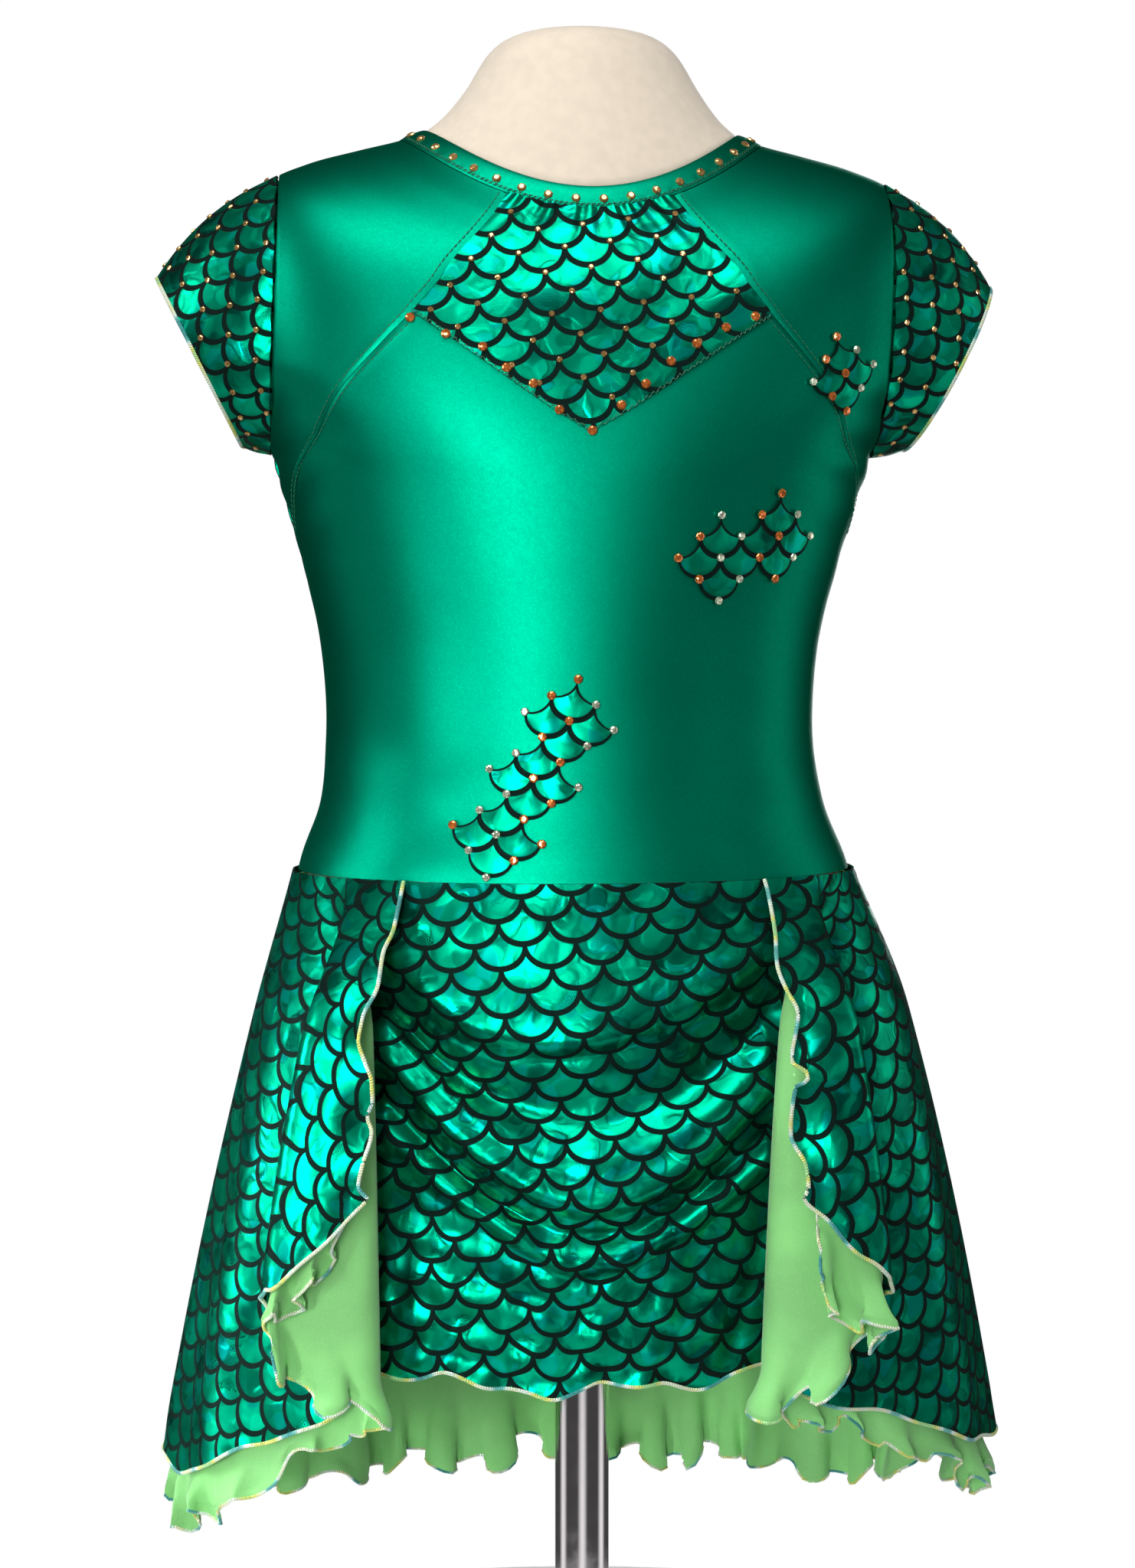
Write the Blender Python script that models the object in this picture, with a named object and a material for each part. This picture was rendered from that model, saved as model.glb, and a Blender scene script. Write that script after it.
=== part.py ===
"""A child's mermaid-style dance dress in foil cloth, standing on a limbless dress form.

Metres, +Z up, the dress faces -Y and the viewer's right is +X. The origin is the centre of the
underside of the stand's base. Every piece of cloth is a thin closed wall. The bodice is cut from one
smooth body surface; the two skirt layers hang from its waist seam and fall in cascades.
"""

import math

import bpy
import numpy as np

# Cloth and seams
CLOTH = 0.0011  # bodice, sleeves and front skirt
LIGHT_CLOTH = 0.0010  # the two open skirts
BINDING, BAND_INSIDE = 0.0018, -0.0002  # folded neck band, and where its inner face lies
SEAM_GAP = 0.0003
SEAM_TURN = 0.0018  # half a seam's gap, as a turn round the body
POINT_CLEAR = 0.15  # the shoulder panels' lower points stop this share of a ring short
BAND_CLEAR = 0.04  # the panels start this share of a ring below the neck band
LAID_ON_GAP = 0.0005  # under a patch that lies on a panel
FORM_CLEARANCE = 0.0018
ARM_END_INSIDE, ARM_END_LOW = 0.0030, 0.7400  # the form's flat arm ends: how far in, and their foot
HIP_CLEARANCE = 0.0040  # more below the waist, where three layers are caught in the seam

# Levels, heights above the floor
WAIST_SEAM = 0.5480
FORM_BOTTOM = 0.4250
ARM_PLANE = 0.1460  # the armholes lie this far to each side of the middle
HEM_LEVEL = 0.2500  # the level at which the skirt's lowest plan is given

# Stand
POLE_RADIUS = 0.0135
BASE_RADIUS = 0.150
BASE_HEIGHT = 0.014
BASE_EDGE = 0.004
COLLAR_RADIUS = 0.026
COLLAR_HEIGHT, COLLAR_SLOPE = 0.016, 0.006

# Rings of the dressed body, neck to hip.
BODY_COLUMNS = (
    "z_side", "z_front", "z_back", "half_width", "front", "back", "square", "centre_x",
)
BODY = {
    "neck_edge": (0.9065, 0.8720, 0.8960, 0.0770, 0.0580, 0.0520, 2.00, -0.0010),
    "band_edge": (0.9015, 0.8610, 0.8860, 0.0885, 0.0625, 0.0590, 2.05, -0.0010),
    "yoke": (0.8960, 0.8480, 0.8710, 0.1090, 0.0700, 0.0670, 2.20, -0.0010),
    "shoulder": (0.8890, 0.8340, 0.8540, 0.1330, 0.0770, 0.0745, 2.35, -0.0010),
    "shoulder_tip": (0.8790, 0.8190, 0.8370, 0.1530, 0.0820, 0.0805, 2.45, -0.0010),
    "arm_high": (0.8590, 0.8030, 0.8170, 0.1650, 0.0860, 0.0845, 2.45, -0.0015),
    "arm_middle": (0.8290, 0.7850, 0.7950, 0.1680, 0.0895, 0.0865, 2.40, -0.0025),
    "arm_low": (0.7960, 0.7650, 0.7710, 0.1640, 0.0920, 0.0870, 2.35, -0.0035),
    "underarm": (0.7620, 0.7460, 0.7490, 0.1495, 0.0930, 0.0860, 2.30, -0.0045),
    "ribs": (0.7330, 0.7270, 0.7280, 0.1405, 0.0925, 0.0840, 2.20, -0.0050),
    "midriff": (0.6960, 0.6950, 0.6950, 0.1300, 0.0910, 0.0810, 2.15, -0.0055),
    "above_waist": (0.6580, 0.6580, 0.6580, 0.1215, 0.0895, 0.0785, 2.10, -0.0060),
    "waist": (0.6180, 0.6180, 0.6180, 0.1190, 0.0895, 0.0780, 2.10, -0.0060),
    "below_waist": (0.5820, 0.5820, 0.5820, 0.1230, 0.0925, 0.0820, 2.10, -0.0050),
    "seam": (0.5480, 0.5480, 0.5480, 0.1350, 0.0970, 0.0880, 2.10, -0.0040),
    "hip": (0.5080, 0.5080, 0.5080, 0.1400, 0.0960, 0.0930, 2.10, -0.0030),
    "low_hip": (0.4650, 0.4650, 0.4650, 0.1400, 0.0920, 0.0930, 2.10, -0.0030),
    "form_bottom": (0.4250, 0.4250, 0.4250, 0.1330, 0.0860, 0.0860, 2.10, -0.0030),
}
# Rings of the form's neck, from the flat top down to the dress's neck edge.
NECK = {
    "cap": (0.9555, 0.9555, 0.9555, 0.0230, 0.0200, 0.0200, 2.00, 0.0000),
    "cap_edge": (0.9520, 0.9520, 0.9520, 0.0370, 0.0320, 0.0320, 2.00, 0.0000),
    "throat": (0.9440, 0.9420, 0.9430, 0.0470, 0.0400, 0.0395, 2.00, 0.0000),
    "collar": (0.9280, 0.9200, 0.9230, 0.0570, 0.0460, 0.0440, 2.00, 0.0000),
    "neck_root": (0.9150, 0.8960, 0.9080, 0.0670, 0.0525, 0.0480, 2.00, -0.0005),
}
ROW = {name: i for i, name in enumerate(BODY)}

# The two curved seams from the neck band to under the arms: the share of the front's quarter turn
# at which the seam crosses each ring.
SHOULDER_SEAM = {
    "band_edge": 0.285, "yoke": 0.262, "shoulder": 0.25, "shoulder_tip": 0.25, "arm_high": 0.277,
    "arm_middle": 0.343, "arm_low": 0.445, "underarm": 0.60, "ribs": 0.81, "midriff": 1.0,
}

# Cap sleeves: the hem is a flat oval, whose outer end is high and inner end is under the arm.
SLEEVE_TOP = (0.2040, 0.8348)  # out from the middle, height
SLEEVE_UNDER = (0.1640, 0.7558)
SLEEVE_HALF_DEPTH, SLEEVE_BACK = 0.041, 0.002
SLEEVE_BULGE = 0.005
ARM_CLEAR = 0.0013  # further out where the panel's own thickness faces the sleeve

# The inset below the neck band: the rows of the body's rings at its two corners and at its point.
INSET_CORNER_ROW, INSET_POINT_ROW = 5.20, 7.50
INSET_EDGE_BEND = 1.4  # 1 is a straight V
INSET_CLEAR = 0.006  # turn kept between it and the shoulder seams

# Scale-print patches. One scale is this wide, and rows are stepped by half a scale.
SCALE_WIDTH = 0.0208
SCALE_STEP = 0.0099
# Each patch: the place of its top joint in the front view, its turn in degrees, its size, and the
# lattice cells that it covers, as (steps right, steps down) from the top joint, in half scales.
PATCHES = {
    "applique_chest": ((0.1120, 0.8015), 0.0, 0.86, ((0, 0), (-1, 1), (1, 1), (0, 2))),
    "applique_bust": (
        (0.0860, 0.7290), 0.0, 1.0,
        ((0, 0), (-1, 1), (1, 1), (0, 2), (-3, 1), (-4, 2), (-2, 2), (-3, 3)),
    ),
    "applique_column": (
        (-0.0095, 0.6420), -12.0, 1.0,
        ((0, 0), (-1, 1), (1, 1), (0, 2), (-1, 3), (-2, 4), (0, 4), (-1, 5), (-2, 6), (-3, 7), (-1, 7),
         (-2, 8)),
    ),
}

# The open skirts. Each fold hangs from an angle on the waist seam (0 is the front middle, positive
# to the right) and passes through a plan point at knee level and at hem level.
KNEE_LEVEL = 0.4800
FOLD_COLUMNS = ("waist_deg", "knee_x", "knee_y", "hem_x", "hem_y", "over_z", "under_z")
LEFT_FOLDS = {
    "front_edge": (-38.0, -0.1040, -0.1330, -0.1080, -0.1480, 0.4116, 0.4050),
    "tip_front": (-45.0, -0.1320, -0.1290, -0.1620, -0.1440, 0.3740, 0.3540),
    "tip_back": (-50.0, -0.1330, -0.1170, -0.1630, -0.1280, 0.3600, 0.3360),
    "inner_front": (-56.0, -0.1100, -0.1120, -0.1110, -0.1220, 0.3250, 0.3060),
    "inner_back": (-61.0, -0.1110, -0.0990, -0.1120, -0.1050, 0.3120, 0.2960),
    "second_pass": (-70.0, -0.1390, -0.0780, -0.1640, -0.0860, 0.2850, 0.2640),
    "side": (-82.0, -0.1570, -0.0400, -0.1990, -0.0420, 0.2620, 0.2340),
}
RIGHT_FOLDS = {
    "side": (82.0, 0.1550, -0.0400, 0.1990, -0.0420, 0.2680, 0.2440),
    "second_pass": (70.0, 0.1330, -0.0780, 0.1530, -0.0860, 0.2900, 0.2740),
    "inner_back": (61.0, 0.0900, -0.0990, 0.0830, -0.1050, 0.3140, 0.3000),
    "inner_front": (56.0, 0.0890, -0.1120, 0.0820, -0.1220, 0.3260, 0.3090),
    "tip_back": (50.0, 0.1130, -0.1170, 0.1370, -0.1280, 0.3600, 0.3380),
    "tip_front": (45.0, 0.1120, -0.1290, 0.1360, -0.1440, 0.3740, 0.3480),
    "front_edge": (38.0, 0.0850, -0.1330, 0.0870, -0.1480, 0.4090, 0.3560),
}
# Flutes round the back, from the left side to the right: the share of the hem's radius by which each
# stands out or in. They are flatter at knee level.
BACK_FLUTES = (0.020, -0.055, 0.060, -0.070, 0.055, -0.050, 0.065, -0.065, 0.060, -0.060, 0.050,
               -0.045, 0.020)
KNEE_FLUTE = 0.35
BACK_FROM, BACK_TO = 96.0, 264.0  # degrees round from the front middle
BACK_HEM = (0.2020, 0.1750)  # half width and depth of the plan at hem level
BACK_KNEE = (0.1580, 0.1090)
BACK_OVER_Z, BACK_UNDER_Z = 0.2360, 0.2000  # lowest, round the back
BACK_OVER_RISE, BACK_UNDER_RISE = 0.0280, 0.0340  # how much higher the hems are at the sides
UNDER_GAP = 0.0005  # between the layers at the seam
LAYER_MIDDLE = CLOTH + LIGHT_CLOTH + 1.5 * UNDER_GAP  # the middle between them, outside the body
UNDER_LOFT, UNDER_LOFT_DROP = 0.0016, 0.006  # they part by this much, this far below it
UNDER_SPREAD = 0.0020  # and by this much more at hem level
FOLD_STEPS = 4  # steps from each fold to the next, two to a ruffle wave
UNDER_SKIPPED = 1  # steps that the inner layer's left front edge stands back
SKIRT_LEVELS = (WAIST_SEAM - SEAM_GAP, 0.5400, 0.5300, 0.5160, 0.4980, 0.4780)
RUFFLE_HEIGHT, RUFFLE_SLOPE = 0.0050, 0.6

# The front skirt: a wide apron with draped folds, its side edges behind the open skirts.
APRON_WAIST_DEG = 50.0
APRON_HALF_WIDTH = 0.1120
APRON_CENTRE_X = -0.0060
APRON_FRONT, APRON_SIDE_DEPTH = 0.1130, 0.0835
APRON_ROUND = 2.2  # 2 is a parabola, higher is flatter in front
APRON_HEM_MIDDLE, APRON_HEM_SIDE = 0.3150, 0.3230
DRAPE_CURVE = 1.7
# Draped folds: the level at the left edge, in the middle and at the right edge, how far the fold
# stands out, and its half width down the cloth.
DRAPES = {
    "upper": (0.470, 0.452, 0.476, 0.0035, 0.009),
    "long_left": (0.452, 0.398, 0.420, 0.0055, 0.010),
    "middle": (0.420, 0.376, 0.436, 0.0050, 0.009),
    "low": (0.372, 0.350, 0.390, 0.0040, 0.010),
}

# Mesh density: steps across, round or down each piece
STEP = 1e-3  # small step for slopes
FRONT_TURN, BACK_TURN = 18, 16
BAND_TURN = 44
ARM_STEPS = 9  # down the armhole
SIDE_STEPS = 3  # from under the arm to the midriff
LOWER_STEPS = 5  # from the midriff to the waist seam
SHOULDER_STEPS = 6
SLEEVE_TURN, SLEEVE_STEPS = 28, 3
INSET_ACROSS, INSET_DOWN = 16, 6
APRON_ACROSS, APRON_DOWN = 18, 16
FORM_TURN, FORM_DOWN = 36, 15
BASE_TURN, POLE_TURN, EDGE_STEPS = 36, 24, 3


def hermite(f, start, end, slope_start, slope_end):
    """Cubic from start to end as f goes from 0 to 1, leaving and arriving with the given slopes."""
    return (
        (2 * f**3 - 3 * f**2 + 1) * start + (f**3 - 2 * f**2 + f) * slope_start
        + (3 * f**2 - 2 * f**3) * end + (f**3 - f**2) * slope_end
    )


def through(levels, values, at):
    """Smooth curve with no overshoot through values at rising levels, read at other levels.

    The values are one list, or one list for each place at which the curve is read.
    """
    at = np.asarray(at, float)
    values = np.asarray(values, float)
    shape = (len(levels),) + (1,) * at.ndim
    if values.ndim == 1:
        values = values.reshape(shape)
    values = np.broadcast_to(values, (len(levels), *at.shape))
    slope = np.diff(values, axis=0) / np.diff(np.reshape(levels, shape), axis=0)
    product = slope[1:] * slope[:-1]
    total = slope[1:] + slope[:-1]
    middle = np.where(product > 0, 2 * product / np.where(total == 0, 1, total), 0.0)
    tangent = np.concatenate([slope[:1], middle, slope[-1:]])
    cell = np.clip(np.searchsorted(levels, at, side="right") - 1, 0, len(levels) - 2)
    start, end, slope_start, slope_end = (
        np.take_along_axis(table, cell[None], 0)[0]
        for table in (values, values[1:], tangent, tangent[1:])
    )
    width = np.diff(levels)[cell]
    f = np.clip((at - np.asarray(levels)[cell]) / width, 0, 1)
    return hermite(f, start, end, width * slope_start, width * slope_end)


def rounded(values, at):
    """Catmull-Rom curve through evenly spaced values, read at fractional row numbers."""
    values = np.asarray(values, float)
    padded = np.concatenate([[2 * values[0] - values[1]], values, [2 * values[-1] - values[-2]]])
    cell = np.clip(np.floor(at).astype(int), 0, len(values) - 2)
    before, start, end, after = (padded[cell + k] for k in range(4))
    return hermite(at - cell, start, end, (end - before) / 2, (after - start) / 2)


def body_column(name, row):
    """One column of the body's rings, read at a row."""
    k = BODY_COLUMNS.index(name)
    return rounded([ring[k] for ring in BODY.values()], row)


def body_point(turn, row, rings=BODY):
    """Point of the body surface: turn is the angle from the front middle, row counts down the rings."""
    table = np.array(list(rings.values()))
    z_side, z_front, z_back, wide, front, back, square, centre = (
        rounded(table[:, i], row) for i in range(len(BODY_COLUMNS))
    )
    s, c = np.sin(turn), np.cos(turn)
    power = 2 / square
    x = centre + wide * np.sign(s) * np.abs(s) ** power
    y = -np.where(c > 0, front, back) * np.sign(c) * np.abs(c) ** power
    z = z_side + (np.where(c > 0, z_front, z_back) - z_side) * c**2
    return np.stack([x, y, z], -1)


def body_normal(turn, row, rings=BODY):
    """Outward unit normal of the body surface, from small steps along both of its directions."""
    around = body_point(turn + STEP, row, rings) - body_point(turn - STEP, row, rings)
    down = body_point(turn, row + STEP, rings) - body_point(turn, row - STEP, rings)
    n = np.cross(down, around)
    return n / np.linalg.norm(n, axis=-1, keepdims=True)


def arm_turn(row):
    """Turn at which the body surface meets the armhole's plane, or a quarter turn where it doesn't."""
    reach = np.clip(ARM_PLANE / body_column("half_width", row), 0, 1)
    return np.arcsin(reach ** (body_column("square", row) / 2))


def arm_rows():
    """Rows at which the armhole starts, above, and ends, under the arm."""
    rows = np.linspace(ROW["band_edge"], ROW["midriff"], 2001)
    inside = rows[body_column("half_width", rows) > ARM_PLANE]
    return inside[0], inside[-1]


def seam_turn(row):
    """Turn of the curved shoulder seam at each row; a quarter turn below the ribs."""
    rows = [ROW[name] for name in SHOULDER_SEAM]
    share = through(rows, list(SHOULDER_SEAM.values()), np.clip(row, rows[0], rows[-1]))
    return np.minimum(share, 1.0) * math.pi / 2


def row_at_height(turn, height):
    """Row at which the body surface is at a height, for each turn, by halving."""
    low = np.full(np.shape(height), float(ROW["neck_edge"]))
    high = np.full(np.shape(height), float(ROW["seam"]))
    for _ in range(40):
        middle = (low + high) / 2
        above = body_point(turn, middle)[..., 2] > height
        low, high = np.where(above, middle, low), np.where(above, high, middle)
    return (low + high) / 2


def front_place(x, z):
    """Turn and row of the front surface point that is seen at x and z in the front view."""
    turn = np.zeros(np.shape(x))
    for _ in range(30):
        row = row_at_height(turn, z)
        error = x - body_point(turn, row)[..., 0]
        turn = turn + error / ARM_PLANE
    return turn, row_at_height(turn, z)


def material(name, color, roughness, metallic=0.0):
    """A plain surface finish."""
    m = bpy.data.materials.new(name)
    m.use_nodes = True
    shader = m.node_tree.nodes["Principled BSDF"]
    shader.inputs["Base Color"].default_value = (*color, 1)
    shader.inputs["Roughness"].default_value = roughness
    shader.inputs["Metallic"].default_value = metallic
    m.diffuse_color = (*color, 1)
    return m


def add_solid(name, vertices, faces, finish):
    """One named object from points and faces, shaded smooth but for its sharp edges."""
    mesh = bpy.data.meshes.new(name)
    mesh.from_pydata(np.asarray(vertices, float).tolist(), [], faces)
    mesh.materials.append(finish)
    mesh.shade_smooth()
    mesh.set_sharp_from_angle(angle=math.radians(50))
    obj = bpy.data.objects.new(name, mesh)
    bpy.context.collection.objects.link(obj)
    return obj


def wall_faces(rows, columns, closed):
    """Faces of a wall whose outer points come first and inner points after, each rows by columns.

    A closed wall goes round and meets itself along its columns; an open one has four edges.
    """
    def at(layer, i, j):
        return layer * rows * columns + i * columns + j % columns

    faces = []
    steps = columns if closed else columns - 1
    for i in range(rows - 1):
        for j in range(steps):
            faces.append((at(0, i, j), at(0, i + 1, j), at(0, i + 1, j + 1), at(0, i, j + 1)))
            faces.append((at(1, i, j), at(1, i, j + 1), at(1, i + 1, j + 1), at(1, i + 1, j)))
    for j in range(steps):
        faces.append((at(0, 0, j), at(0, 0, j + 1), at(1, 0, j + 1), at(1, 0, j)))
        last = rows - 1
        faces.append((at(0, last, j + 1), at(0, last, j), at(1, last, j), at(1, last, j + 1)))
    if not closed:
        for i in range(rows - 1):
            faces.append((at(0, i + 1, 0), at(0, i, 0), at(1, i, 0), at(1, i + 1, 0)))
            end = columns - 1
            faces.append((at(0, i, end), at(0, i + 1, end), at(1, i + 1, end), at(1, i, end)))
    return faces


def wall(name, points, normals, inside, outside, finish, closed=False):
    """Cloth between two offsets of a grid of points whose rows run down and columns run to the right."""
    rows, columns = points.shape[:2]
    outer, inner = points + normals * outside, points + normals * inside
    vertices = np.concatenate([outer.reshape(-1, 3), inner.reshape(-1, 3)])
    return add_solid(name, vertices, wall_faces(rows, columns, closed), finish)


def body_wall(name, turn, row, finish, inside=0.0, thick=CLOTH, closed=False):
    """A panel of the bodice: a wall on the body surface over a grid of turns and rows."""
    return wall(
        name, body_point(turn, row), body_normal(turn, row), inside, inside + thick, finish, closed
    )


def build_neck_band(finish):
    """The folded binding round the neck edge."""
    turn, row = np.meshgrid(
        np.linspace(0, 2 * math.pi, BAND_TURN, endpoint=False), (ROW["neck_edge"], ROW["band_edge"])
    )
    body_wall("neckband", turn, row, finish, inside=BAND_INSIDE, thick=BINDING, closed=True)


def spread(steps):
    """Places across a panel from -1 to 1, closer together towards its sides."""
    even = np.linspace(-1, 1, steps + 1)
    return (even + np.sin(even * math.pi / 2)) / 2


def build_bodice(finish):
    """Front panel, the two shoulder panels and the back, with the armholes left open."""
    arm_top, arm_bottom = arm_rows()
    top = ROW["band_edge"] + BAND_CLEAR

    swing = np.linspace(0, math.pi, ARM_STEPS + 1)  # closer together at the armhole's ends
    arm = (arm_top + arm_bottom) / 2 - (arm_bottom - arm_top) / 2 * np.cos(swing)
    sides = np.linspace(ROW["ribs"] + 0.1, ROW["midriff"], SIDE_STEPS + 1)
    upper = np.concatenate([[top, (top + arm_top) / 2], arm, sides])
    lower = np.linspace(ROW["midriff"], ROW["seam"], LOWER_STEPS + 1)[1:]
    rows = np.concatenate([upper, lower])

    across = spread(FRONT_TURN)
    edge = seam_turn(rows) - SEAM_TURN
    body_wall("front_centre", across * edge[:, None], np.repeat(rows[:, None], len(across), 1), finish)

    rows_side = np.append(upper[:-1], ROW["midriff"] - POINT_CLEAR)
    inner = seam_turn(rows_side) + SEAM_TURN
    at_arm = (rows_side >= arm_top) & (rows_side <= arm_bottom)
    outer = np.where(at_arm, arm_turn(rows_side) - SEAM_TURN / 2, math.pi / 2 - SEAM_TURN)
    share = np.linspace(0, 1, SHOULDER_STEPS + 1)
    for side, name in ((-1, "shoulder_left"), (1, "shoulder_right")):
        turn = side * (inner[:, None] + (outer - inner)[:, None] * share)
        row = np.repeat(rows_side[:, None], len(share), 1)
        body_wall(name, turn[:, ::side], row, finish)

    at_arm = (rows >= arm_top) & (rows <= arm_bottom)
    edge = np.where(at_arm, arm_turn(rows) - SEAM_TURN / 2, math.pi / 2 - SEAM_TURN)
    across = spread(BACK_TURN)
    turn = math.pi + across * edge[:, None]
    body_wall("back", turn, np.repeat(rows[:, None], len(across), 1), finish)


def armhole(count, side):
    """Closed ring of body turns and rows round one armhole: top, down the front, up the back."""
    arm_top, arm_bottom = arm_rows()
    angle = np.linspace(0, 2 * math.pi, count, endpoint=False)
    row = (arm_top + arm_bottom) / 2 - (arm_bottom - arm_top) / 2 * np.cos(angle)
    turn = np.where(angle < math.pi, arm_turn(row), math.pi - arm_turn(row))
    return side * turn, row, angle


def build_sleeves(finish):
    """Cap sleeves, each a short tube from its armhole to an oval hem."""
    middle = np.add(SLEEVE_TOP, SLEEVE_UNDER) / 2
    half = np.subtract(SLEEVE_TOP, SLEEVE_UNDER) / 2
    centre_x = body_column("centre_x", ROW["arm_middle"])
    share = np.linspace(0, 1, SLEEVE_STEPS + 1)[:, None, None]
    for side, name in ((-1, "sleeve_left"), (1, "sleeve_right")):
        turn, row, angle = armhole(SLEEVE_TURN, side)
        seam = body_point(turn, row)
        lean = np.maximum(side * body_normal(turn, row)[:, 0], 0)
        seam[:, 0] += side * (SEAM_GAP + ARM_CLEAR * lean)
        hem = np.stack([
            centre_x + side * (middle[0] + half[0] * np.cos(angle)),
            SLEEVE_BACK - SLEEVE_HALF_DEPTH * np.sin(angle),
            middle[1] + half[1] * np.cos(angle),
        ], -1)
        grid = seam * (1 - share) + hem * share
        around = np.roll(grid, -1, 1) - np.roll(grid, 1, 1)
        normal = side * np.cross(around, np.gradient(grid, axis=0))
        normal /= np.linalg.norm(normal, axis=-1, keepdims=True)
        rise = SLEEVE_BULGE * 4 * share * (1 - share) * np.cos(angle / 2)[None, :, None] ** 2
        grid = grid + normal * rise
        if side > 0:
            grid, normal = grid[:, ::-1], normal[:, ::-1]
        wall(name, grid, normal, 0.0, CLOTH, finish, closed=True)


def build_inset(finish):
    """The gathered V that lies on the front panel between the shoulder seams."""
    top = ROW["band_edge"] + BAND_CLEAR
    across = np.linspace(-1, 1, INSET_ACROSS + 1)
    reach = (1 - np.abs(across)) ** INSET_EDGE_BEND
    low_row = INSET_CORNER_ROW + (INSET_POINT_ROW - INSET_CORNER_ROW) * reach
    share = np.linspace(0, 1, INSET_DOWN + 1)[:, None]
    row = top + (low_row - top) * share
    turn = across * (seam_turn(np.minimum(row, INSET_CORNER_ROW)) - INSET_CLEAR)
    body_wall("front_inset", turn, row, finish, inside=CLOTH + LAID_ON_GAP, thick=CLOTH)


def surface_step(turn, row, right, down):
    """Turn and row reached by going right and down along the body surface from a place on it."""
    steps = 8
    turn, row = turn + np.zeros(np.shape(right)), row + np.zeros(np.shape(right))
    for _ in range(steps):
        around = (body_point(turn + STEP, row) - body_point(turn - STEP, row)) / (2 * STEP)
        along = (body_point(turn, row + STEP) - body_point(turn, row - STEP)) / (2 * STEP)
        pace = np.linalg.norm(around, axis=-1)
        sideways = np.sum(along * around, -1) / pace
        fall = np.sqrt(np.sum(along**2, -1) - sideways**2)
        row_step = down / steps / fall
        turn = turn + (right / steps - row_step * sideways) / pace
        row = row + row_step
    return turn, row


def build_patches(finish):
    """Scale-print patches: diamonds of the print's own cells, laid on the panels."""
    low = CLOTH + LAID_ON_GAP
    for name, (place, degrees, size, cells) in PATCHES.items():
        tilt = math.radians(degrees)
        squares = [  # each cell is four small diamonds, in quarter scales
            (2 * r - a + b, 2 * d + a + b) for r, d in cells for a in (0, 1) for b in (0, 1)
        ]
        rings = [[(r, d), (r - 1, d + 1), (r, d + 2), (r + 1, d + 1)] for r, d in squares]
        joints = sorted({joint for ring in rings for joint in ring})
        flat = np.array(joints, float) * (SCALE_WIDTH / 4 * size, SCALE_STEP / 2 * size)
        right = flat[:, 0] * math.cos(tilt) + flat[:, 1] * math.sin(tilt)
        down = flat[:, 1] * math.cos(tilt) - flat[:, 0] * math.sin(tilt)
        top_turn, top_row = front_place(np.array(place[0]), np.array(place[1]))
        turn, row = surface_step(top_turn, top_row, right, down)
        points, normals = body_point(turn, row), body_normal(turn, row)
        vertices = np.concatenate([points + normals * (low + CLOTH), points + normals * low])
        index = {joint: i for i, joint in enumerate(joints)}
        count = len(joints)
        faces, sides = [], set()
        for ring in rings:
            ring = [index[joint] for joint in ring]
            faces.append(tuple(ring))
            faces.append(tuple(count + i for i in reversed(ring)))
            sides.update(zip(ring, ring[1:] + ring[:1]))
        faces += [(b, a, count + a, count + b) for a, b in sides if (b, a) not in sides]
        add_solid(name, vertices, faces, finish)


def fold_table():
    """All the folds of the open skirts from the left front edge round the back to the right one."""
    rows = list(LEFT_FOLDS.values())
    for degrees, out in zip(np.linspace(BACK_FROM, BACK_TO, len(BACK_FLUTES)), BACK_FLUTES):
        s, c = math.sin(math.radians(degrees)), math.cos(math.radians(degrees))
        knee = np.array([-BACK_KNEE[0] * s, -BACK_KNEE[1] * c]) * (1 + out * KNEE_FLUTE)
        hem = np.array([-BACK_HEM[0] * s, -BACK_HEM[1] * c]) * (1 + out)
        over_z = BACK_OVER_Z + BACK_OVER_RISE * s**2
        under_z = BACK_UNDER_Z + BACK_UNDER_RISE * s**8
        rows.append((-degrees, *knee, *hem, over_z, under_z))
    rows += [(degrees - 360, *rest) for degrees, *rest in RIGHT_FOLDS.values()]
    return dict(zip(FOLD_COLUMNS, np.array(rows).T))


FOLDS = fold_table()
LAST_FOLD = len(FOLDS["waist_deg"]) - 1


def skirt_point(along, height):
    """Point of the open skirts' surface: along counts the folds, height is the level."""
    turn = np.radians(FOLDS["waist_deg"])
    row = np.full(len(turn), float(ROW["seam"]))
    seam = body_point(turn, row) + body_normal(turn, row) * LAYER_MIDDLE
    levels = [HEM_LEVEL, KNEE_LEVEL, WAIST_SEAM]
    plan_x = np.array([FOLDS["hem_x"], FOLDS["knee_x"], seam[:, 0]])
    plan_y = np.array([FOLDS["hem_y"], FOLDS["knee_y"], seam[:, 1]])
    cell = np.clip(np.floor(along).astype(int), 0, LAST_FOLD - 1)
    columns = []
    for plan in (plan_x, plan_y):
        left = 2 * plan[:, :1] - plan[:, 1:2]
        right = 2 * plan[:, -1:] - plan[:, -2:-1]
        padded = np.concatenate([left, plan, right], 1)
        before, start, end, after = (through(levels, padded[:, cell + k], height) for k in range(4))
        columns.append(hermite(along - cell, start, end, (end - before) / 2, (after - start) / 2))
    return np.stack([*columns, height], -1)


def skirt_normal(along, height):
    """Outward normal of the open skirts' surface."""
    around = skirt_point(along + STEP, height) - skirt_point(along - STEP, height)
    down = skirt_point(along, height - STEP / 10) - skirt_point(along, height + STEP / 10)
    n = np.cross(around, down)
    return n / np.linalg.norm(n, axis=-1, keepdims=True)


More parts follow.
